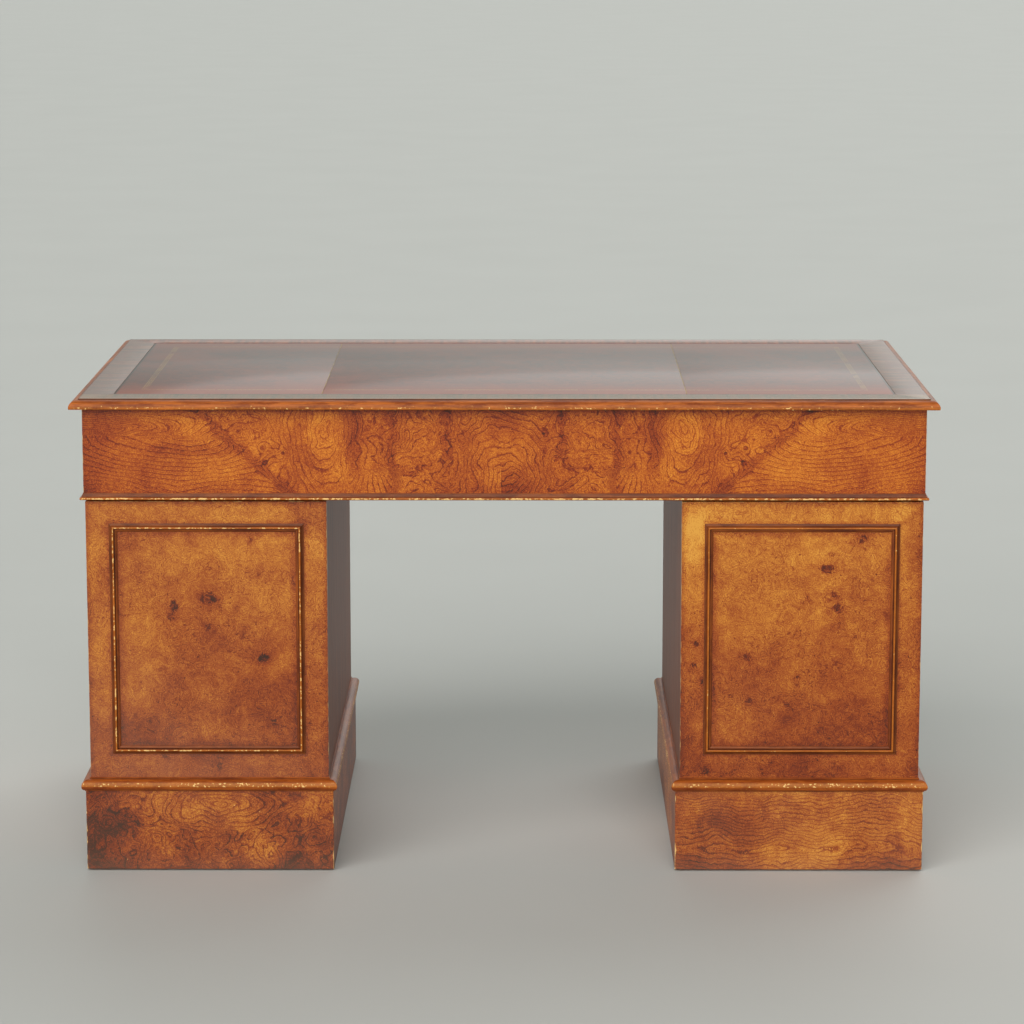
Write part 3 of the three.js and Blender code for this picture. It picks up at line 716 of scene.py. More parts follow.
def leather_material(half_x, half_y, joint):
    """Old hide: creased, rubbed red in patches and gilt-tooled round its border and joints."""
    g = Graph("hide")
    x, y, _ = g.split(g.place)
    away_x = half_x - abs(x)
    away_y = half_y - abs(y)
    away = g.least(away_x, away_y)
    on_side = g.math("LESS_THAN", away_x, away_y)
    run = g.blend(on_side, x, y)

    pebble = g.cells(420.0, g.place)
    crease = g.noise(46.0, detail=4.0, roughness=0.7, distortion=1.5)
    patch = g.noise(5.0, detail=5.0, roughness=0.65)
    colour = g.mix(g.step(crease, 0.3, 0.7), HIDE_DARK, HIDE)
    colour = g.mix(g.part(patch, 0.45, 0.7, 0.38), colour, HIDE_WORN)
    colour = g.mix(g.part(away_y, 130 * MM, 10 * MM, 0.6), colour, HIDE_WORN)
    colour = g.mix(g.part(away_y, 6 * MM, 1 * MM, 0.7), colour, HIDE_WORN)
    colour = g.mix(g.part(away_x, 5 * MM, 2 * MM, 0.9), colour, SOOT)

    def band(distance, centre, width):
        off = abs(distance - centre)
        return g.step(off, width, width * 0.6)

    repeat = g.fraction(run * (1 / (7 * MM)))
    across = abs(away - 43.5 * MM) * (1 / (2.4 * MM))
    diamond = across + abs(repeat - 0.5) * 2.0
    outline = g.step(abs(diamond - 0.85), 0.2, 0.1)
    roll = g.most(outline, g.step(diamond, 0.3, 0.2)) * g.step(across, 1.15, 1.0)
    lines = g.most(band(away, 40 * MM, 0.5 * MM), band(away, 47 * MM, 0.5 * MM))
    joints = band(abs(x), joint, 1.1 * MM) * g.step(away, 3 * MM, 4 * MM)
    rubbed = g.step(g.noise(22.0, detail=5.0, roughness=0.75), 0.36, 0.56)
    tooled = g.most(roll, lines, joints)
    gilt = tooled * g.span(rubbed, 0.03, 0.42)
    colour = g.mix(gilt, colour, GILT)

    grain = g.bump(pebble + crease, 0.35, 0.15 * MM)
    pressed = g.bump(tooled, 0.5, -0.15 * MM, under=grain)
    roughness = g.span(crease, 0.42, 0.52) + patch * 0.03
    return g.finish(colour, roughness, pressed, metallic=gilt * 0.5, coat=0.27)


def brass_material():
    """Lacquered brass gone brown in its hollows and bright where hands have rubbed it."""
    g = Graph("aged_brass")
    tarnish = g.noise(90.0, detail=4.0, roughness=0.6)
    spots = g.noise(420.0, detail=2.0)
    colour = g.mix(g.step(tarnish, 0.2, 0.7), BRASS_DARK, BRASS)
    colour = g.mix(g.part(spots, 0.62, 0.74, 0.3), colour, BRASS_DARK)
    return g.finish(colour, g.span(tarnish, 0.38, 0.24), g.bump(spots, 0.15, 0.04 * MM), metallic=1.0)


def dark_material(name, colour):
    g = Graph(name)
    return g.finish(g.mix(g.noise(300.0), colour, GRIME_AND_SHADE), 0.8)


DOVETAIL_PITCH = 24 * MM


def lining_material(name, low, high):
    """A drawer's linings, with the pins of its dovetails showing at the front of each side."""
    g = Graph(name)
    lengthwise = g.stretch((1.0, 0.05, 1.0))
    colour = timber(g, lengthwise, LINING, LINING_DARK, 75.0)
    x, y, z = g.split(g.place)
    back = high.y - y
    repeat = g.fraction((z - low.z) * (1 / DOVETAIL_PITCH))
    taper = 0.1 + back * 6.0
    pin = g.math("LESS_THAN", abs(repeat - 0.5), taper)
    tail = g.inverse(pin) * g.step(back, 12.5 * MM, 12.3 * MM)
    off_side = g.least(x - low.x, high.x - x)
    tail = tail * g.step(off_side, 0.6 * MM, 0.3 * MM)
    end_grain = timber(g, g.place, display(150, 104, 62), display(112, 72, 40), 400.0)
    colour = g.mix(tail, colour, end_grain)
    fibre = g.noise(700.0, lengthwise)
    return g.finish(colour, g.span(fibre, 0.5, 0.66), g.bump(fibre, 0.3, 0.1 * MM))


# ---- building pieces

SHARP_ANGLE = math.radians(38)


def turns(steps):
    """The angles of steps points round a circle."""
    return [2 * math.pi * k / steps for k in range(steps)]


def bridge(bm, loops, last_cap=True):
    """Faces between loops of vertices that follow one another, and over the two open ends."""
    for here, after in zip(loops, loops[1:]):
        for i in range(len(here)):
            j = (i + 1) % len(here)
            bm.faces.new((here[i], here[j], after[j], after[i]))
    bm.faces.new(loops[0])
    if last_cap:
        bm.faces.new(reversed(loops[-1]))


def to_mesh(name, bm, material):
    """Turns a bmesh into a mesh with its faces outwards and smooth but for its sharp edges."""
    bmesh.ops.recalc_face_normals(bm, faces=bm.faces)
    mesh = bpy.data.meshes.new(name)
    bm.to_mesh(mesh)
    bm.free()
    mesh.materials.append(material)
    mesh.shade_smooth()
    mesh.set_sharp_from_angle(angle=SHARP_ANGLE)
    return mesh


def place_object(name, data):
    made = bpy.data.objects.new(name, data)
    bpy.context.scene.collection.objects.link(made)
    return made


def place_mesh(name, mesh, body, stands_for=()):
    """Makes a mesh into a piece that rides on a body."""
    made = place_object(name, mesh)
    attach(made, body)
    if stands_for:
        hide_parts(*stands_for)


def add_piece(name, bm, material, body, stands_for=()):
    place_mesh(name, to_mesh(name, bm, material), body, stands_for)


def board(bm, low, high, edge):
    made = bmesh.ops.create_cube(bm, size=1.0)
    centre, size = (Vector(low) + Vector(high)) / 2, Vector(high) - Vector(low)
    for vert in made["verts"]:
        vert.co = centre + Vector(a * b for a, b in zip(vert.co, size))
    edges = list({e for vert in made["verts"] for e in vert.link_edges})
    bmesh.ops.bevel(bm, geom=edges, offset=edge, segments=2, affect="EDGES", profile=0.5)


def board_piece(name, boards, material, body, stands_for=()):
    """One piece of several boards, each given as its two corners and the width of its easing."""
    bm = bmesh.new()
    for low, high, edge in boards:
        board(bm, low, high, edge)
    add_piece(name, bm, material, body, stands_for)


def soften(node, width):
    """Eases a CAD board's edges with modifiers."""
    for polygon in node.data.polygons:
        polygon.use_smooth = True
    weld = node.modifiers.new("weld", "WELD")
    weld.merge_threshold = 0.01 * MM
    bevel = node.modifiers.new("ease", "BEVEL")
    bevel.width = width
    bevel.segments = 2
    bevel.limit_method = "ANGLE"
    bevel.angle_limit = math.radians(50)
    node.modifiers.new("shade", "WEIGHTED_NORMAL")


def arc(centre, radii, start, end, wear_and_light=0.0, steps=7, flank=None):
    """Points of an elliptical arc as (out, up, mark), with its angles in degrees. A mark above 0
    is a rubbed ridge with a painted highlight, and below 0 a hollow with painted shade.

    A bead has a flank too: the mark at its two ends, which grows to the full mark at its crest.
    """
    points = []
    for i in range(steps + 1):
        a = math.radians(start + (end - start) * i / steps)
        crest = math.sin(math.pi * i / steps) ** 1.5
        here = wear_and_light if flank is None else flank + (wear_and_light - flank) * crest
        points.append((centre[0] + radii[0] * math.cos(a), centre[1] + radii[1] * math.sin(a), here))
    return points


def bow(start, control, end, wear_and_light=0.0, steps=6):
    """Points of a quadratic curve as (out, up, mark), the mark being as in arc."""
    points = []
    for i in range(steps + 1):
        t = i / steps
        blend = [(1 - t) ** 2, 2 * t * (1 - t), t * t]
        out, up = (sum(b * p[k] for b, p in zip(blend, (start, control, end))) for k in (0, 1))
        points.append((out, up, wear_and_light))
    return points


CORNERS = [(1, 1), (-1, 1), (-1, -1), (1, -1)]
PIECE_LENGTH = 25 * MM
MITRE_GAP = 0.08 * MM
RUB_DEPTH = 0.22 * MM


def mitred(name, profile, half, lay, material, stands_for=(), lift=0.0, body="carcase"):
    """Four mitred lengths of moulding round a rectangle of two half sides, as closed prisms.

    profile is a closed outline of (out, up, mark) in millimetres, out being the distance outside
    the rectangle and lift what is added to up. A mark above 0 is a rubbed ridge with a painted
    highlight, and below 0 a hollow with painted shade. lay turns (x, y, up) into the row frame.
    Rubbed ridges are worn a little uneven.
    """
    profile = [(out * MM, up * MM + lift, wear_and_light) for out, up, wear_and_light in profile]
    half_x, half_y = half
    bm = bmesh.new()
    wear_and_light_layer = bm.verts.layers.float.new("wear_and_light")
    grain_layer = bm.verts.layers.float_vector.new("grain")
    for side in range(4):
        (ax, ay), (bx, by) = CORNERS[side], CORNERS[(side + 1) % 4]
        run = Vector((bx - ax, by - ay)).normalized()
        whole = 2 * (half_x if ax != bx else half_y)
        steps = max(2, round(whole / PIECE_LENGTH))
        loops = []
        for step in range(steps + 1):
            loop = []
            for out, up, wear_and_light in profile:
                rubbed = wave.noise(Vector((step * 0.37 + side * 9, out * 300, up * 300)))
                out_here = out - max(wear_and_light, 0.0) * RUB_DEPTH * (0.5 + 0.5 * rubbed)
                start = Vector((ax * (half_x + out_here), ay * (half_y + out_here)))
                end = Vector((bx * (half_x + out_here), by * (half_y + out_here)))
                start += run * MITRE_GAP
                end -= run * MITRE_GAP
                point = start.lerp(end, step / steps)
                vert = bm.verts.new(lay((point.x, point.y, up)))
                vert[wear_and_light_layer] = wear_and_light
                vert[grain_layer] = Vector((point.dot(run) + side * 3.0, out, up))
                loop.append(vert)
            loops.append(loop)
        bridge(bm, loops)
    add_piece(name, bm, material, body, stands_for)


def lay_upright(x, z, face, outwards):
    """Lays a moulding round (x, z) on a face that looks along Y, outwards being 1 or -1."""
    return lambda point: Vector((x + point[0], face + outwards * point[2], z + point[1]))


# ---- the top

top_low, top_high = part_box("top_board")
leather_low, leather_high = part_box("leather_skiver")
TOP_HALF = (top_high.x, top_high.y)
BAND_EDGE = top_high.x - leather_high.x - 0.5 * MM  # from the nose to the recess for the leather
JOINT = 290.5 * MM  # from the middle of the desk to the joints in the leather
SEAM = 0.15 * MM


def build_top():
    thick = (top_high.z - top_low.z) / MM
    # The third figures mark the nose as rubbed, also a painted highlight, and the step under the crossband
    # below 0, for painted shade.
    edge = [(-14.5, 0.0, 0.0), (-2.2, 0.0, 0.0)]
    edge += bow((-2.2, 0.0), (0.0, 0.0), (0.0, 2.2), 0.6, steps=4)
    edge += [(0.0, 3.2, 0.8)]
    edge += arc((-13.5, 3.2), (13.5, thick - 5.0), 7, 25, 0.5, steps=3)[:-1]
    edge += arc((-13.5, 3.2), (13.5, thick - 5.0), 25, 90, 0.0, steps=9)[:-1]
    edge += [(-13.5, thick - 1.8, -1.1), (-14.2, thick - 1.6, -1.1)]
    edge += [(-14.3, thick - 0.3, -0.9), (-14.5, thick, -0.7)]
    material = moulding_material("edge_wood", EDGE_WOOD, wear_and_light=0.85, coat=0.05)
    mitred("top_edge_moulding", edge, TOP_HALF, Vector, material, ["top_board"], top_low.z)

    inner = -BAND_EDGE / MM
    band = [(-14.6, 0.0, 0), (-14.6, thick - 0.25, 0), (-14.9, thick, 0)]
    band += [(inner + 0.4, thick, 0), (inner, thick - 0.3, 0), (inner, 0.0, 0)]
    material = moulding_material("crossband_wood", WALNUT, WALNUT_DARK, cross=True, coat=0.5)
    mitred("top_crossband", band, TOP_HALF, Vector, material, (), top_low.z)

    x, y = TOP_HALF[0] - BAND_EDGE, TOP_HALF[1] - BAND_EDGE
    core = ((-x, -y, top_low.z), (x, y, leather_low.z - 0.05 * MM), 0.3 * MM)
    material = straight("core_timber", LINING, LINING_DARK, gloss=0.6, coat=0.0)
    board_piece("top_core", [core], material, "carcase")


def build_leather():
    """Three skins side by side, their edges eased."""
    hide = leather_material(leather_high.x, leather_high.y, JOINT)
    edges = [leather_low.x, -JOINT, JOINT, leather_high.x]
    for name, left, right in zip(("left", "centre", "right"), edges, edges[1:]):
        high = (right - SEAM, leather_high.y, leather_high.z)
        skin = ((left + SEAM, leather_low.y, leather_low.z), high, 0.35 * MM)
        stands_for = ["leather_skiver"] if name == "centre" else []
        board_piece(f"leather_{name}", [skin], hide, "carcase", stands_for)


# ---- mouldings


def build_mouldings():
    rubbed = moulding_material("bead_wood", wear_and_light=1.0)
    wood = moulding_material("moulding_wood", wear_and_light=0.75)

    # The lip is marked rubbed, also a painted highlight; the cove and quirks below 0, for painted shade.
    bead = [(0.0, 0.0, 0.0), (3.4, 0.0, 0.5)] + arc((3.6, 2.3), (2.3, 2.3), -90, 90, 1.0, 10, -0.4)
    bead += [(2.6, 4.7, -1.3), (2.5, 5.1, -1.3)] + bow((2.6, 5.3), (2.0, 6.4), (0.8, 10.0), -0.6)
    bead += [(0.8, 11.0, 0.1), (0.0, 11.0, 0.0)]
    node = "frieze_bead_moulding"
    half = (frieze_box[1].x, -frieze_box[0].y)
    mitred("frieze_bead", bead, half, Vector, rubbed, [node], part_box(node)[0].z)

    # The left panel's bead is more rubbed and pale: partly real rubbing, partly a painted highlight.
    for side, wear_and_light in (("left", 0.9), ("right", 0.4)):
        build_plinth_moulding(side, wood)
        build_panel_moulding(side, moulding_material(f"{side}_panel_bead_wood", wear_and_light=wear_and_light))


def build_plinth_moulding(side, wood):
    low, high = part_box(f"{side}_pedestal_back_panel")
    node = f"{side}_pedestal_plinth_moulding"
    moulding_low, moulding_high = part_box(node)
    middle = (low.x + high.x) / 2
    tall = (moulding_high.z - moulding_low.z) / MM
    nose = 8.5
    # The underside and the quirk are marked below 0, for painted shade; the nose is marked rubbed, also a
    # painted highlight.
    rim = [(0.0, 0.0, 0.0), (9.0, 0.0, -0.6), (9.0, 1.5, -0.2)]
    rim += arc((9.0, nose), (5.0, nose - 1.5), -80, -8, 0.35)
    rim += arc((2.5, nose), (11.5, tall - 2.5 - nose), 0, 34, 0.85, 4)
    rim += arc((2.5, nose), (11.5, tall - 2.5 - nose), 42, 90, 0.15, 6)
    rim += [(1.5, tall - 2.5, -0.9), (1.5, tall - 0.3, 0.3), (1.2, tall, 0.2), (0.0, tall, 0.0)]

    lay = lambda point: Vector((middle + point[0], point[1], point[2]))
    half = ((high.x - low.x) / 2, -low.y)
    mitred(f"{side}_plinth_torus", rim, half, lay, wood, [node], moulding_low.z)


def build_panel_moulding(side, wood):
    node = f"{side}_pedestal_panel_moulding"
    low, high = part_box(node)
    middle, half = (low + high) / 2, (high - low) / 2
    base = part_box(f"{side}_pedestal_back_panel")[0].y
    # The crest is marked rubbed, also a painted highlight; the flanks and quirks below 0, for painted shade.
    bead = [(0.0, -0.2, 0.0), (0.0, 1.2, -0.2)] + bow((-0.4, 1.3), (-3.0, 1.6), (-4.6, 4.0), -0.7)
    bead += arc((-6.6, 4.2), (2.0, 2.0), 10, 170, 1.0, 10, -0.7) + [(-8.6, 1.5, -1.0), (-9.6, 1.5, -1.0)]
    bead += [(-9.7, 2.7, 0.3)] + bow((-10.0, 2.8), (-12.0, 2.6), (-13.5, 0.8), -0.5, 4)
    bead += [(-13.5, -0.2, 0.0)]
    lay = lay_upright(middle.x, middle.z, base, -1)
    mitred(f"{side}_panel_bead", bead, (half.x, half.z), lay, wood, [node])


# ---- drawers

DRAWERS = {
    "frieze_left": ["frieze_left"],
    "frieze_centre": ["frieze_centre_left", "frieze_centre_right"],
    "frieze_right": ["frieze_right"],
    "left_upper": ["left_upper"],
    "left_filing": ["left_filing_upper", "left_filing_lower"],
    "right_upper": ["right_upper"],
    "right_middle": ["right_middle"],
    "right_lower": ["right_lower"],
}
COCKBEAD_PROUD = 3 * MM
FALSE_RAIL = 18 * MM
FALSE_RAIL_GAP = 1 * MM
RAIL_PROUD = 1 * MM
KEYHOLE_DROP = 15 * MM
LINING_THICK = 10 * MM
TONGUE = 1 * MM  # how far the back and the bottom reach into the sides


def front_shade(g):
    """Redder and more golden leaves, with the odd round shadow."""
    eyes = g.step(g.cells(11.0, g.warp(g.place, 26.0, 0.04)), 0.14, 0.04)
    return g.noise(4.0) * 0.2 + eyes * 0.25


def cockbead(name, low, high, face, material, body):
    """A rounded bead round a drawer front, mitred at its corners."""
    middle, half = (Vector(low) + Vector(high)) / 2, (Vector(high) - Vector(low)) / 2
    # The crest is marked rubbed, also a painted highlight, and the foot below 0, for painted shade.
    round_top = arc((-1.5, 1.5), (1.5, 1.5), 0, 180, 0.6, 8)
    profile = [(0.0, -1.0, 0.0)] + round_top + [(-3.0, -1.0, -0.5)]
    mitred(name, profile, half, lay_upright(*middle, face, 1), material, body=body)


def build_drawer(name, bead_wood, brass, dark):
    """A drawer. The filing drawer's front is made to look like two, with a rail between them."""
    body = f"{name}_drawer"
    low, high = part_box(f"{name}_drawer_front")
    face = high.y - COCKBEAD_PROUD
    g, colour, grain = burr(f"{name}_front_veneer", low.x * 3 + low.z * 5, shade=front_shade)
    # A thin film of dust and painted sheen.
    front = veneer_finish(g, g.mix(0.05, colour, DUST_AND_SHEEN), grain)
    plank, node = (low, (high.x, face, high.z), 0.3 * MM), f"{name}_drawer_front"
    board_piece(f"{name}_front_board", [plank], front, body, [node])

    leaves = [(low.z, high.z)]
    if name == "left_filing":
        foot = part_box("right_lower_drawer_front")[1].z + FALSE_RAIL_GAP
        leaves = [(low.z, foot - FALSE_RAIL_GAP), (foot + FALSE_RAIL + FALSE_RAIL_GAP, high.z)]
        proud = (high.x, face + RAIL_PROUD, foot + FALSE_RAIL)
        rail = ((low.x, face - RAIL_PROUD, foot), proud, 0.3 * MM)
        wood = straight("false_rail_wood", RIM_WOOD, RIM_WOOD_DARK, lines=90.0)
        board_piece(f"{name}_false_rail", [rail], wood, body)
    for i, (bottom, top) in enumerate(leaves):
        cockbead(f"{name}_cockbead_{i + 1}", (low.x, bottom), (high.x, top), face, bead_wood, body)
    build_box(name, body)
    for i, (bottom, top) in enumerate(leaves):
        hole = ((low.x + high.x) / 2, face, top - KEYHOLE_DROP)
        escutcheon(f"{name}_{i + 1}", *hole, brass, dark, body)


def build_box(name, body):
    """A drawer's two sides, its back and its bottom, as boards of their own."""
    low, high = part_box(f"{name}_drawer_box")
    left, right = low.x + LINING_THICK - TONGUE, high.x - LINING_THICK + TONGUE
    foot = (left, low.y + TONGUE, low.z + 8 * MM)
    boards = [
        (low, (low.x + LINING_THICK, high.y, high.z), 2.2 * MM),
        ((high.x - LINING_THICK, low.y, low.z), high, 2.2 * MM),
        (foot, (right, low.y + LINING_THICK, high.z - 4 * MM), 0.8 * MM),
        (foot, (right, high.y, low.z + 13 * MM), 0.3 * MM),
    ]
    material = lining_material(f"{name}_lining", low, high)
    board_piece(f"{name}_linings", boards, material, body, [f"{name}_drawer_box"])


def escutcheon(name, x, face, z, brass, dark, body):
    """An oval brass plate, pierced by a round hole over a widening slot, with a dark plug in the hole that
    paints the shadow of the lock behind it.
    """
    rim, hole = [], []
    for a in turns(40):
        rim.append((5.2 * MM * math.sin(a), 8.2 * MM * math.cos(a)))
        up = math.cos(a)
        if up > -0.1:
            hole.append((2.0 * MM * math.sin(a), 2.2 * MM + 2.0 * MM * up))
        else:
            side = math.copysign(1.1 * MM + 0.9 * MM * max(0.0, -up - 0.5), math.sin(a))
            wide = side * min(1.0, abs(math.sin(a)) * 4)
            hole.append((wide, 2.2 * MM + 6.2 * MM * (up + 0.1) / 0.9))

    def loop(points, out, grow=1.0):
        return [bm.verts.new((x + px * grow, face + out, z + pz * grow)) for px, pz in points]

    bm = bmesh.new()
    loops = [loop(rim, 0.0), loop(rim, 0.5 * MM), loop(rim, 0.9 * MM, 0.9)]
    bridge(bm, [*loops, loop(hole, 0.9 * MM, 1.05), loop(hole, 0.1 * MM)], last_cap=False)
    add_piece(f"{name}_escutcheon", bm, brass, body)
    # The dark plug in the hole: painted shadow of the lock behind it.
    bm = bmesh.new()
    bridge(bm, [loop(hole, 0.05 * MM, 1.02), loop(hole, 0.2 * MM, 1.02)])
    add_piece(f"{name}_keyhole", bm, dark, body)


# ---- handles

HALF_CENTRES = 40.0
PIVOT = 12.5
PLATE_THICKNESS = 1.6


def smooth_path(points, steps=10):
    """A Catmull-Rom curve through points."""
    ends = [2 * points[0] - points[1], *points, 2 * points[-1] - points[-2]]
    path = []
    for a, b, c, d in zip(ends, ends[1:], ends[2:], ends[3:]):
        for i in range(steps):
            t = i / steps
            path.append(
                0.5 * (2 * b + (c - a) * t + (2 * a - 5 * b + 4 * c - d) * t**2
                       + (3 * b - a - 3 * c + d) * t**3)
            )
    return [*path, points[-1]]


def tube(bm, path, radii):
    """A tube along a path in the XZ plane, closed at both ends."""
    loops = []
    for i, point in enumerate(path):
        ahead = (path[min(i + 1, len(path) - 1)] - path[max(i - 1, 0)]).normalized()
        across = Vector((0, 1, 0))
        up = ahead.cross(across)
        spokes = [math.cos(a) * across + math.sin(a) * up for a in turns(14)]
        loops.append([bm.verts.new(point + radii[i] * spoke) for spoke in spokes])
    bridge(bm, loops)


def lathe(bm, profile, x):
    """A turned post standing out along Y at x. profile is (radius, out) in millimetres."""
    loops = []
    for radius, out in profile:
        ring = [(x + radius * math.cos(a), out, radius * math.sin(a)) for a in turns(28)]
        loops.append([bm.verts.new([value * MM for value in point]) for point in ring])
    bridge(bm, loops)


def plate_outline():
    """The plate's right half from the top down, as quadratic curves, then mirrored."""
    ends = [(0, 15), (16, 11), (34, 13), (52, 4), (50, -6), (28, -16), (8, -24), (0, -31)]
    controls = [(6, 10), (26, 12), (48, 15), (56, 0), (44, -14), (14, -18), (4, -30)]
    curves = zip(ends, controls, ends[1:])
    right = [p[:2] for curve in curves for p in bow(*curve, steps=8)[:-1]] + ends[-1:]
    left = [(-x, z) for x, z in right[1:-1]][::-1]
    return right + left


def drawn_in(point, reach):
    """A point of the plate's outline, moved a reach towards the middle line of the plate."""
    x, z = point
    spine = (max(-36.0, min(36.0, x)), -2.0)
    share = 1 - reach / math.hypot(x - spine[0], z - spine[1])
    return spine[0] + (x - spine[0]) * share, spine[1] + (z - spine[1]) * share


def plate_mesh(brass):
    """A shaped back plate with a sunk line round its face, and its two turned posts."""
    bm = bmesh.new()
    thick = PLATE_THICKNESS
    loops = []
    for reach, out in (
        (0.0, 0.0), (0.0, thick - 0.5), (0.5, thick), (1.8, thick),
        (2.25, thick - 0.45), (2.75, thick - 0.45), (3.2, thick),
    ):
        points = [drawn_in(point, reach) for point in plate_outline()]
        loops.append([bm.verts.new((x * MM, out * MM, z * MM)) for x, z in points])
    bridge(bm, loops)
    post = [
        (0.01, 0.4), (7.2, 0.4), (7.4, 1.8), (6.6, 2.7), (4.2, 3.2), (3.3, 4.6), (3.3, 6.6),
        (4.2, 8.2), (5.2, 9.6), (5.5, PIVOT), (5.0, 15.0), (3.6, 16.6), (1.6, 17.2), (0.01, 17.3),
    ]
    for x in (-HALF_CENTRES, HALF_CENTRES):
        lathe(bm, post, x)
    return to_mesh("handle_plate", bm, brass)


def bail_mesh(brass):
    """The swinging drop: swan-necked ends in the posts, and a swelling with a bead below."""
    right = [(46.4, 0), (41, 0), (34.4, -0.6), (31.0, -5), (33.0, -12), (30.5, -21), (20, -27.5)]
    right += [(9, -29.6)]
    points = [Vector((x * MM, 0, z * MM)) for x, z in right]
    points += [Vector((0, 0, -30 * MM))]
    points += [Vector((-p.x, 0, p.z)) for p in reversed(points[:-1])]
    path = smooth_path(points)
    radii = []
    for point in path:
        away = abs(point.x) / MM
        swell = max(0.0, 1 - away / 30) * 0.9 if point.z < -15 * MM else 0.0
        bead = 0.9 * math.exp(-((away - 5.5) / 0.9) ** 2) if point.z < -15 * MM else 0.0
        radii.append((1.9 + swell + bead) * MM)
    bm = bmesh.new()
    tube(bm, path, radii)
    return to_mesh("handle_bail", bm, brass)


def build_handles(brass):
    plate, bail = plate_mesh(brass), bail_mesh(brass)
    pivots = {j["child"]: Vector(j["pos_m"]) for j in frame["joints"] if j["type"] == "hinge"}
    for drawer, handles in DRAWERS.items():
        for handle in handles:
            pivot = pivots[f"{handle}_bail"]
            base = Vector((pivot.x, pivot.y - PIVOT * MM, pivot.z))
            for name, mesh, body, spot, node in (
                ("back_plate", plate, f"{drawer}_drawer", base, "handle_plate"),
                ("swan_bail", bail, f"{handle}_bail", pivot, "handle_bail"),
            ):
                copy = mesh.copy()
                copy.transform(Matrix.Translation(spot))
                place_mesh(f"{handle}_{name}", copy, body, [f"{handle}_{node}"])


# ---- carcase boards


def dress_boards():
    """Edges and veneers for the CAD boards that stay."""
    tint = (1, 0.77, 0.42, 1)
    leaf = ("frieze_veneer", frieze_figure, 3.1, book_match, frieze_shade)
    g, colour, grain = figured(*leaf, tint, bold=0.42, width=0.32)
    dress("frieze_back_board", veneer_finish(g, edge_wear(g, colour, frieze_box), grain))
    for name in ("frieze_end_left", "frieze_end_right"):
        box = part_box(name)
        leaf = (f"{name}_veneer", end_figure, box[0].x, end_fold, end_shade)
        g, colour, grain = figured(*leaf, bold=0.24)
        dress(name, veneer_finish(g, edge_wear(g, colour, box), grain))
    dress("frieze_drawer_frame", rail_veneer("frieze_drawer_frame"), 0.3 * MM)
    # The right back is lighter at the top than the left, with a thinner film: partly the veneer, partly
    # painted light, the right side being lit brighter.
    left = back_panel("left", 1.7, LEFT_KNOTS, LEFT_CLOUDS, -0.03, 0.17, 0.26)
    right = back_panel("right", 4.2, RIGHT_KNOTS, RIGHT_CLOUDS, -0.1, 0.17, 0.05)
    dress("left_pedestal_back_panel", left)
    dress("right_pedestal_back_panel", right)
    # The right plinth's gloom lightens it and the left's darkens it: partly the veneer, partly painted
    # light.
    plinths = {
        "left": (7.7, (0.018, 0.106), (0.017, 0.0062), 0.004, 4.5, 0.22, 0.13, 0.08, 0.44),
        "right": (6.1, (-0.05, 0.035), (0.06, 0.006), 0.011, 15.0, 0.2, 0.0, -0.09, 0.42),
    }
    for side in ("left", "right"):
        dress(f"{side}_pedestal_side_outer", side_veneer(f"{side}_pedestal_side_outer", True))
        dress(f"{side}_pedestal_side_inner", side_veneer(f"{side}_pedestal_side_inner", False))
        dress(f"{side}_pedestal_plinth", plinth(side, *plinths[side]), 0.9 * MM)
        dress(f"{side}_pedestal_top_board", rail_veneer(f"{side}_pedestal_top_board"))
    for name in [n for n in nodes if "dust_board" in n]:
        dress(name, rail_veneer(name), 0.3 * MM)


def dress(name, material, width=0.7 * MM):
    node = nodes[name]
    node.data.materials.clear()
    node.data.materials.append(material)
    soften(node, width)


# ---- camera, floor and light


# The camera looks at the panelled back from a little above. Angles are in degrees.
CAMERA_PLACE = (0.0311, -5.2408, 1.5562)
CAMERA_PITCH, CAMERA_TURN = 8.917, 0.219  # down, and to the left
CAMERA_LENS, CAMERA_SHIFT = 110.87, -0.12
SKY = (0.75, 0.89, 0.84, 1.0)
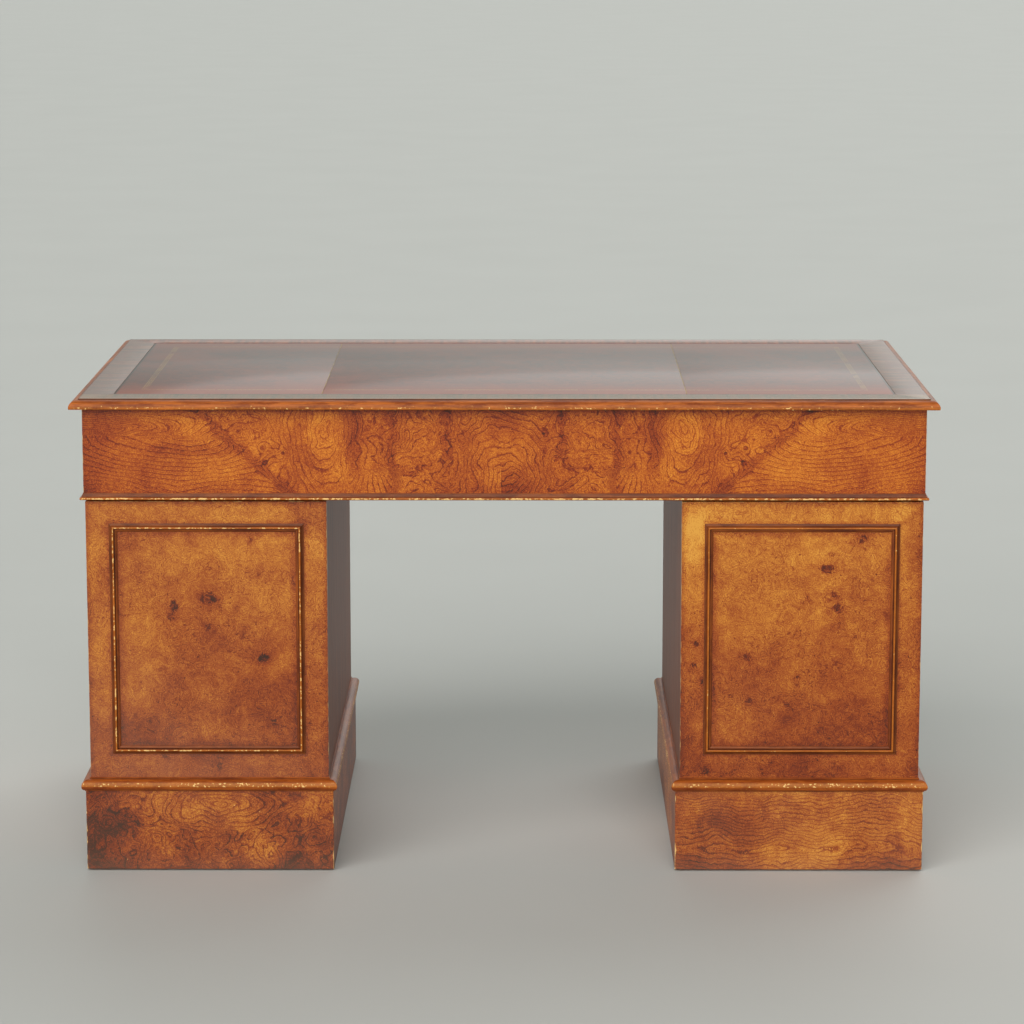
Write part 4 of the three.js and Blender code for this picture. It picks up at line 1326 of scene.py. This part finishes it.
# Each light's direction, energy, width in degrees and colour.
LIGHTS = {
    "key": ((0.35, 1.0, -0.6), 3.28, 74.0, (1.0, 0.97, 0.92)),
    "fill": ((-0.4, -1.0, -0.8), 1.0, 60.0, (1.0, 0.98, 0.95)),
}
FLOOR_REACH = 80.0
FLOOR_TONES = [(0.47, 0.465, 0.455, 1), (0.50, 0.495, 0.485, 1)]


def build_stage():
    scene = bpy.context.scene
    scene.view_settings.view_transform = "Standard"
    data = bpy.data.cameras.new("camera")
    data.lens = CAMERA_LENS
    data.sensor_width = 36.0
    data.shift_y = CAMERA_SHIFT
    scene.camera = place_object("camera", data)
    scene.camera.location = CAMERA_PLACE
    scene.camera.rotation_euler = (math.radians(90 - CAMERA_PITCH), 0.0, math.radians(CAMERA_TURN))

    # The sky is dimmer on the side that the desk's back faces.
    g = Graph("studio", made_in=bpy.data.worlds, place="Generated")
    inputs = {"Value": g.split(g.place)[1], "From Min": 0.1, "From Max": 0.9, "To Min": 0.28, "To Max": 0.68}
    strength = g.value("ShaderNodeMapRange", 0, inputs)
    sky = g.value("ShaderNodeBackground", 0, {"Color": SKY, "Strength": strength})
    g.node("ShaderNodeOutputWorld", {0: sky})
    scene.world = g.made

    for name, (aim, energy, width, colour) in LIGHTS.items():
        sun = bpy.data.lights.new(name, "SUN")
        sun.energy = energy
        sun.angle = math.radians(width)
        sun.color = colour
        place_object(name, sun).rotation_euler = Vector(aim).to_track_quat("-Z", "Y").to_euler()

    mesh = bpy.data.meshes.new("floor")
    corners = [(x * FLOOR_REACH, y * FLOOR_REACH, 0) for x, y in ((-1, -1), (1, -1), (1, 1), (-1, 1))]
    mesh.from_pydata(corners, [], [(0, 1, 2, 3)])
    g = Graph("floor")
    mesh.materials.append(g.finish(g.mix(g.noise(2.0), *FLOOR_TONES), 0.75))
    place_object("floor", mesh)


build_stage()
dress_boards()
build_top()
build_leather()
build_mouldings()
brass_finish = brass_material()
# Near black, for the painted shadow in each keyhole.
keyhole_shadow = dark_material("keyhole_shadow", display(22, 16, 12))
bead_finish = moulding_material("cockbead_wood", wear_and_light=0.3)
for drawer_name in DRAWERS:
    build_drawer(drawer_name, bead_finish, brass_finish, keyhole_shadow)
build_handles(brass_finish)
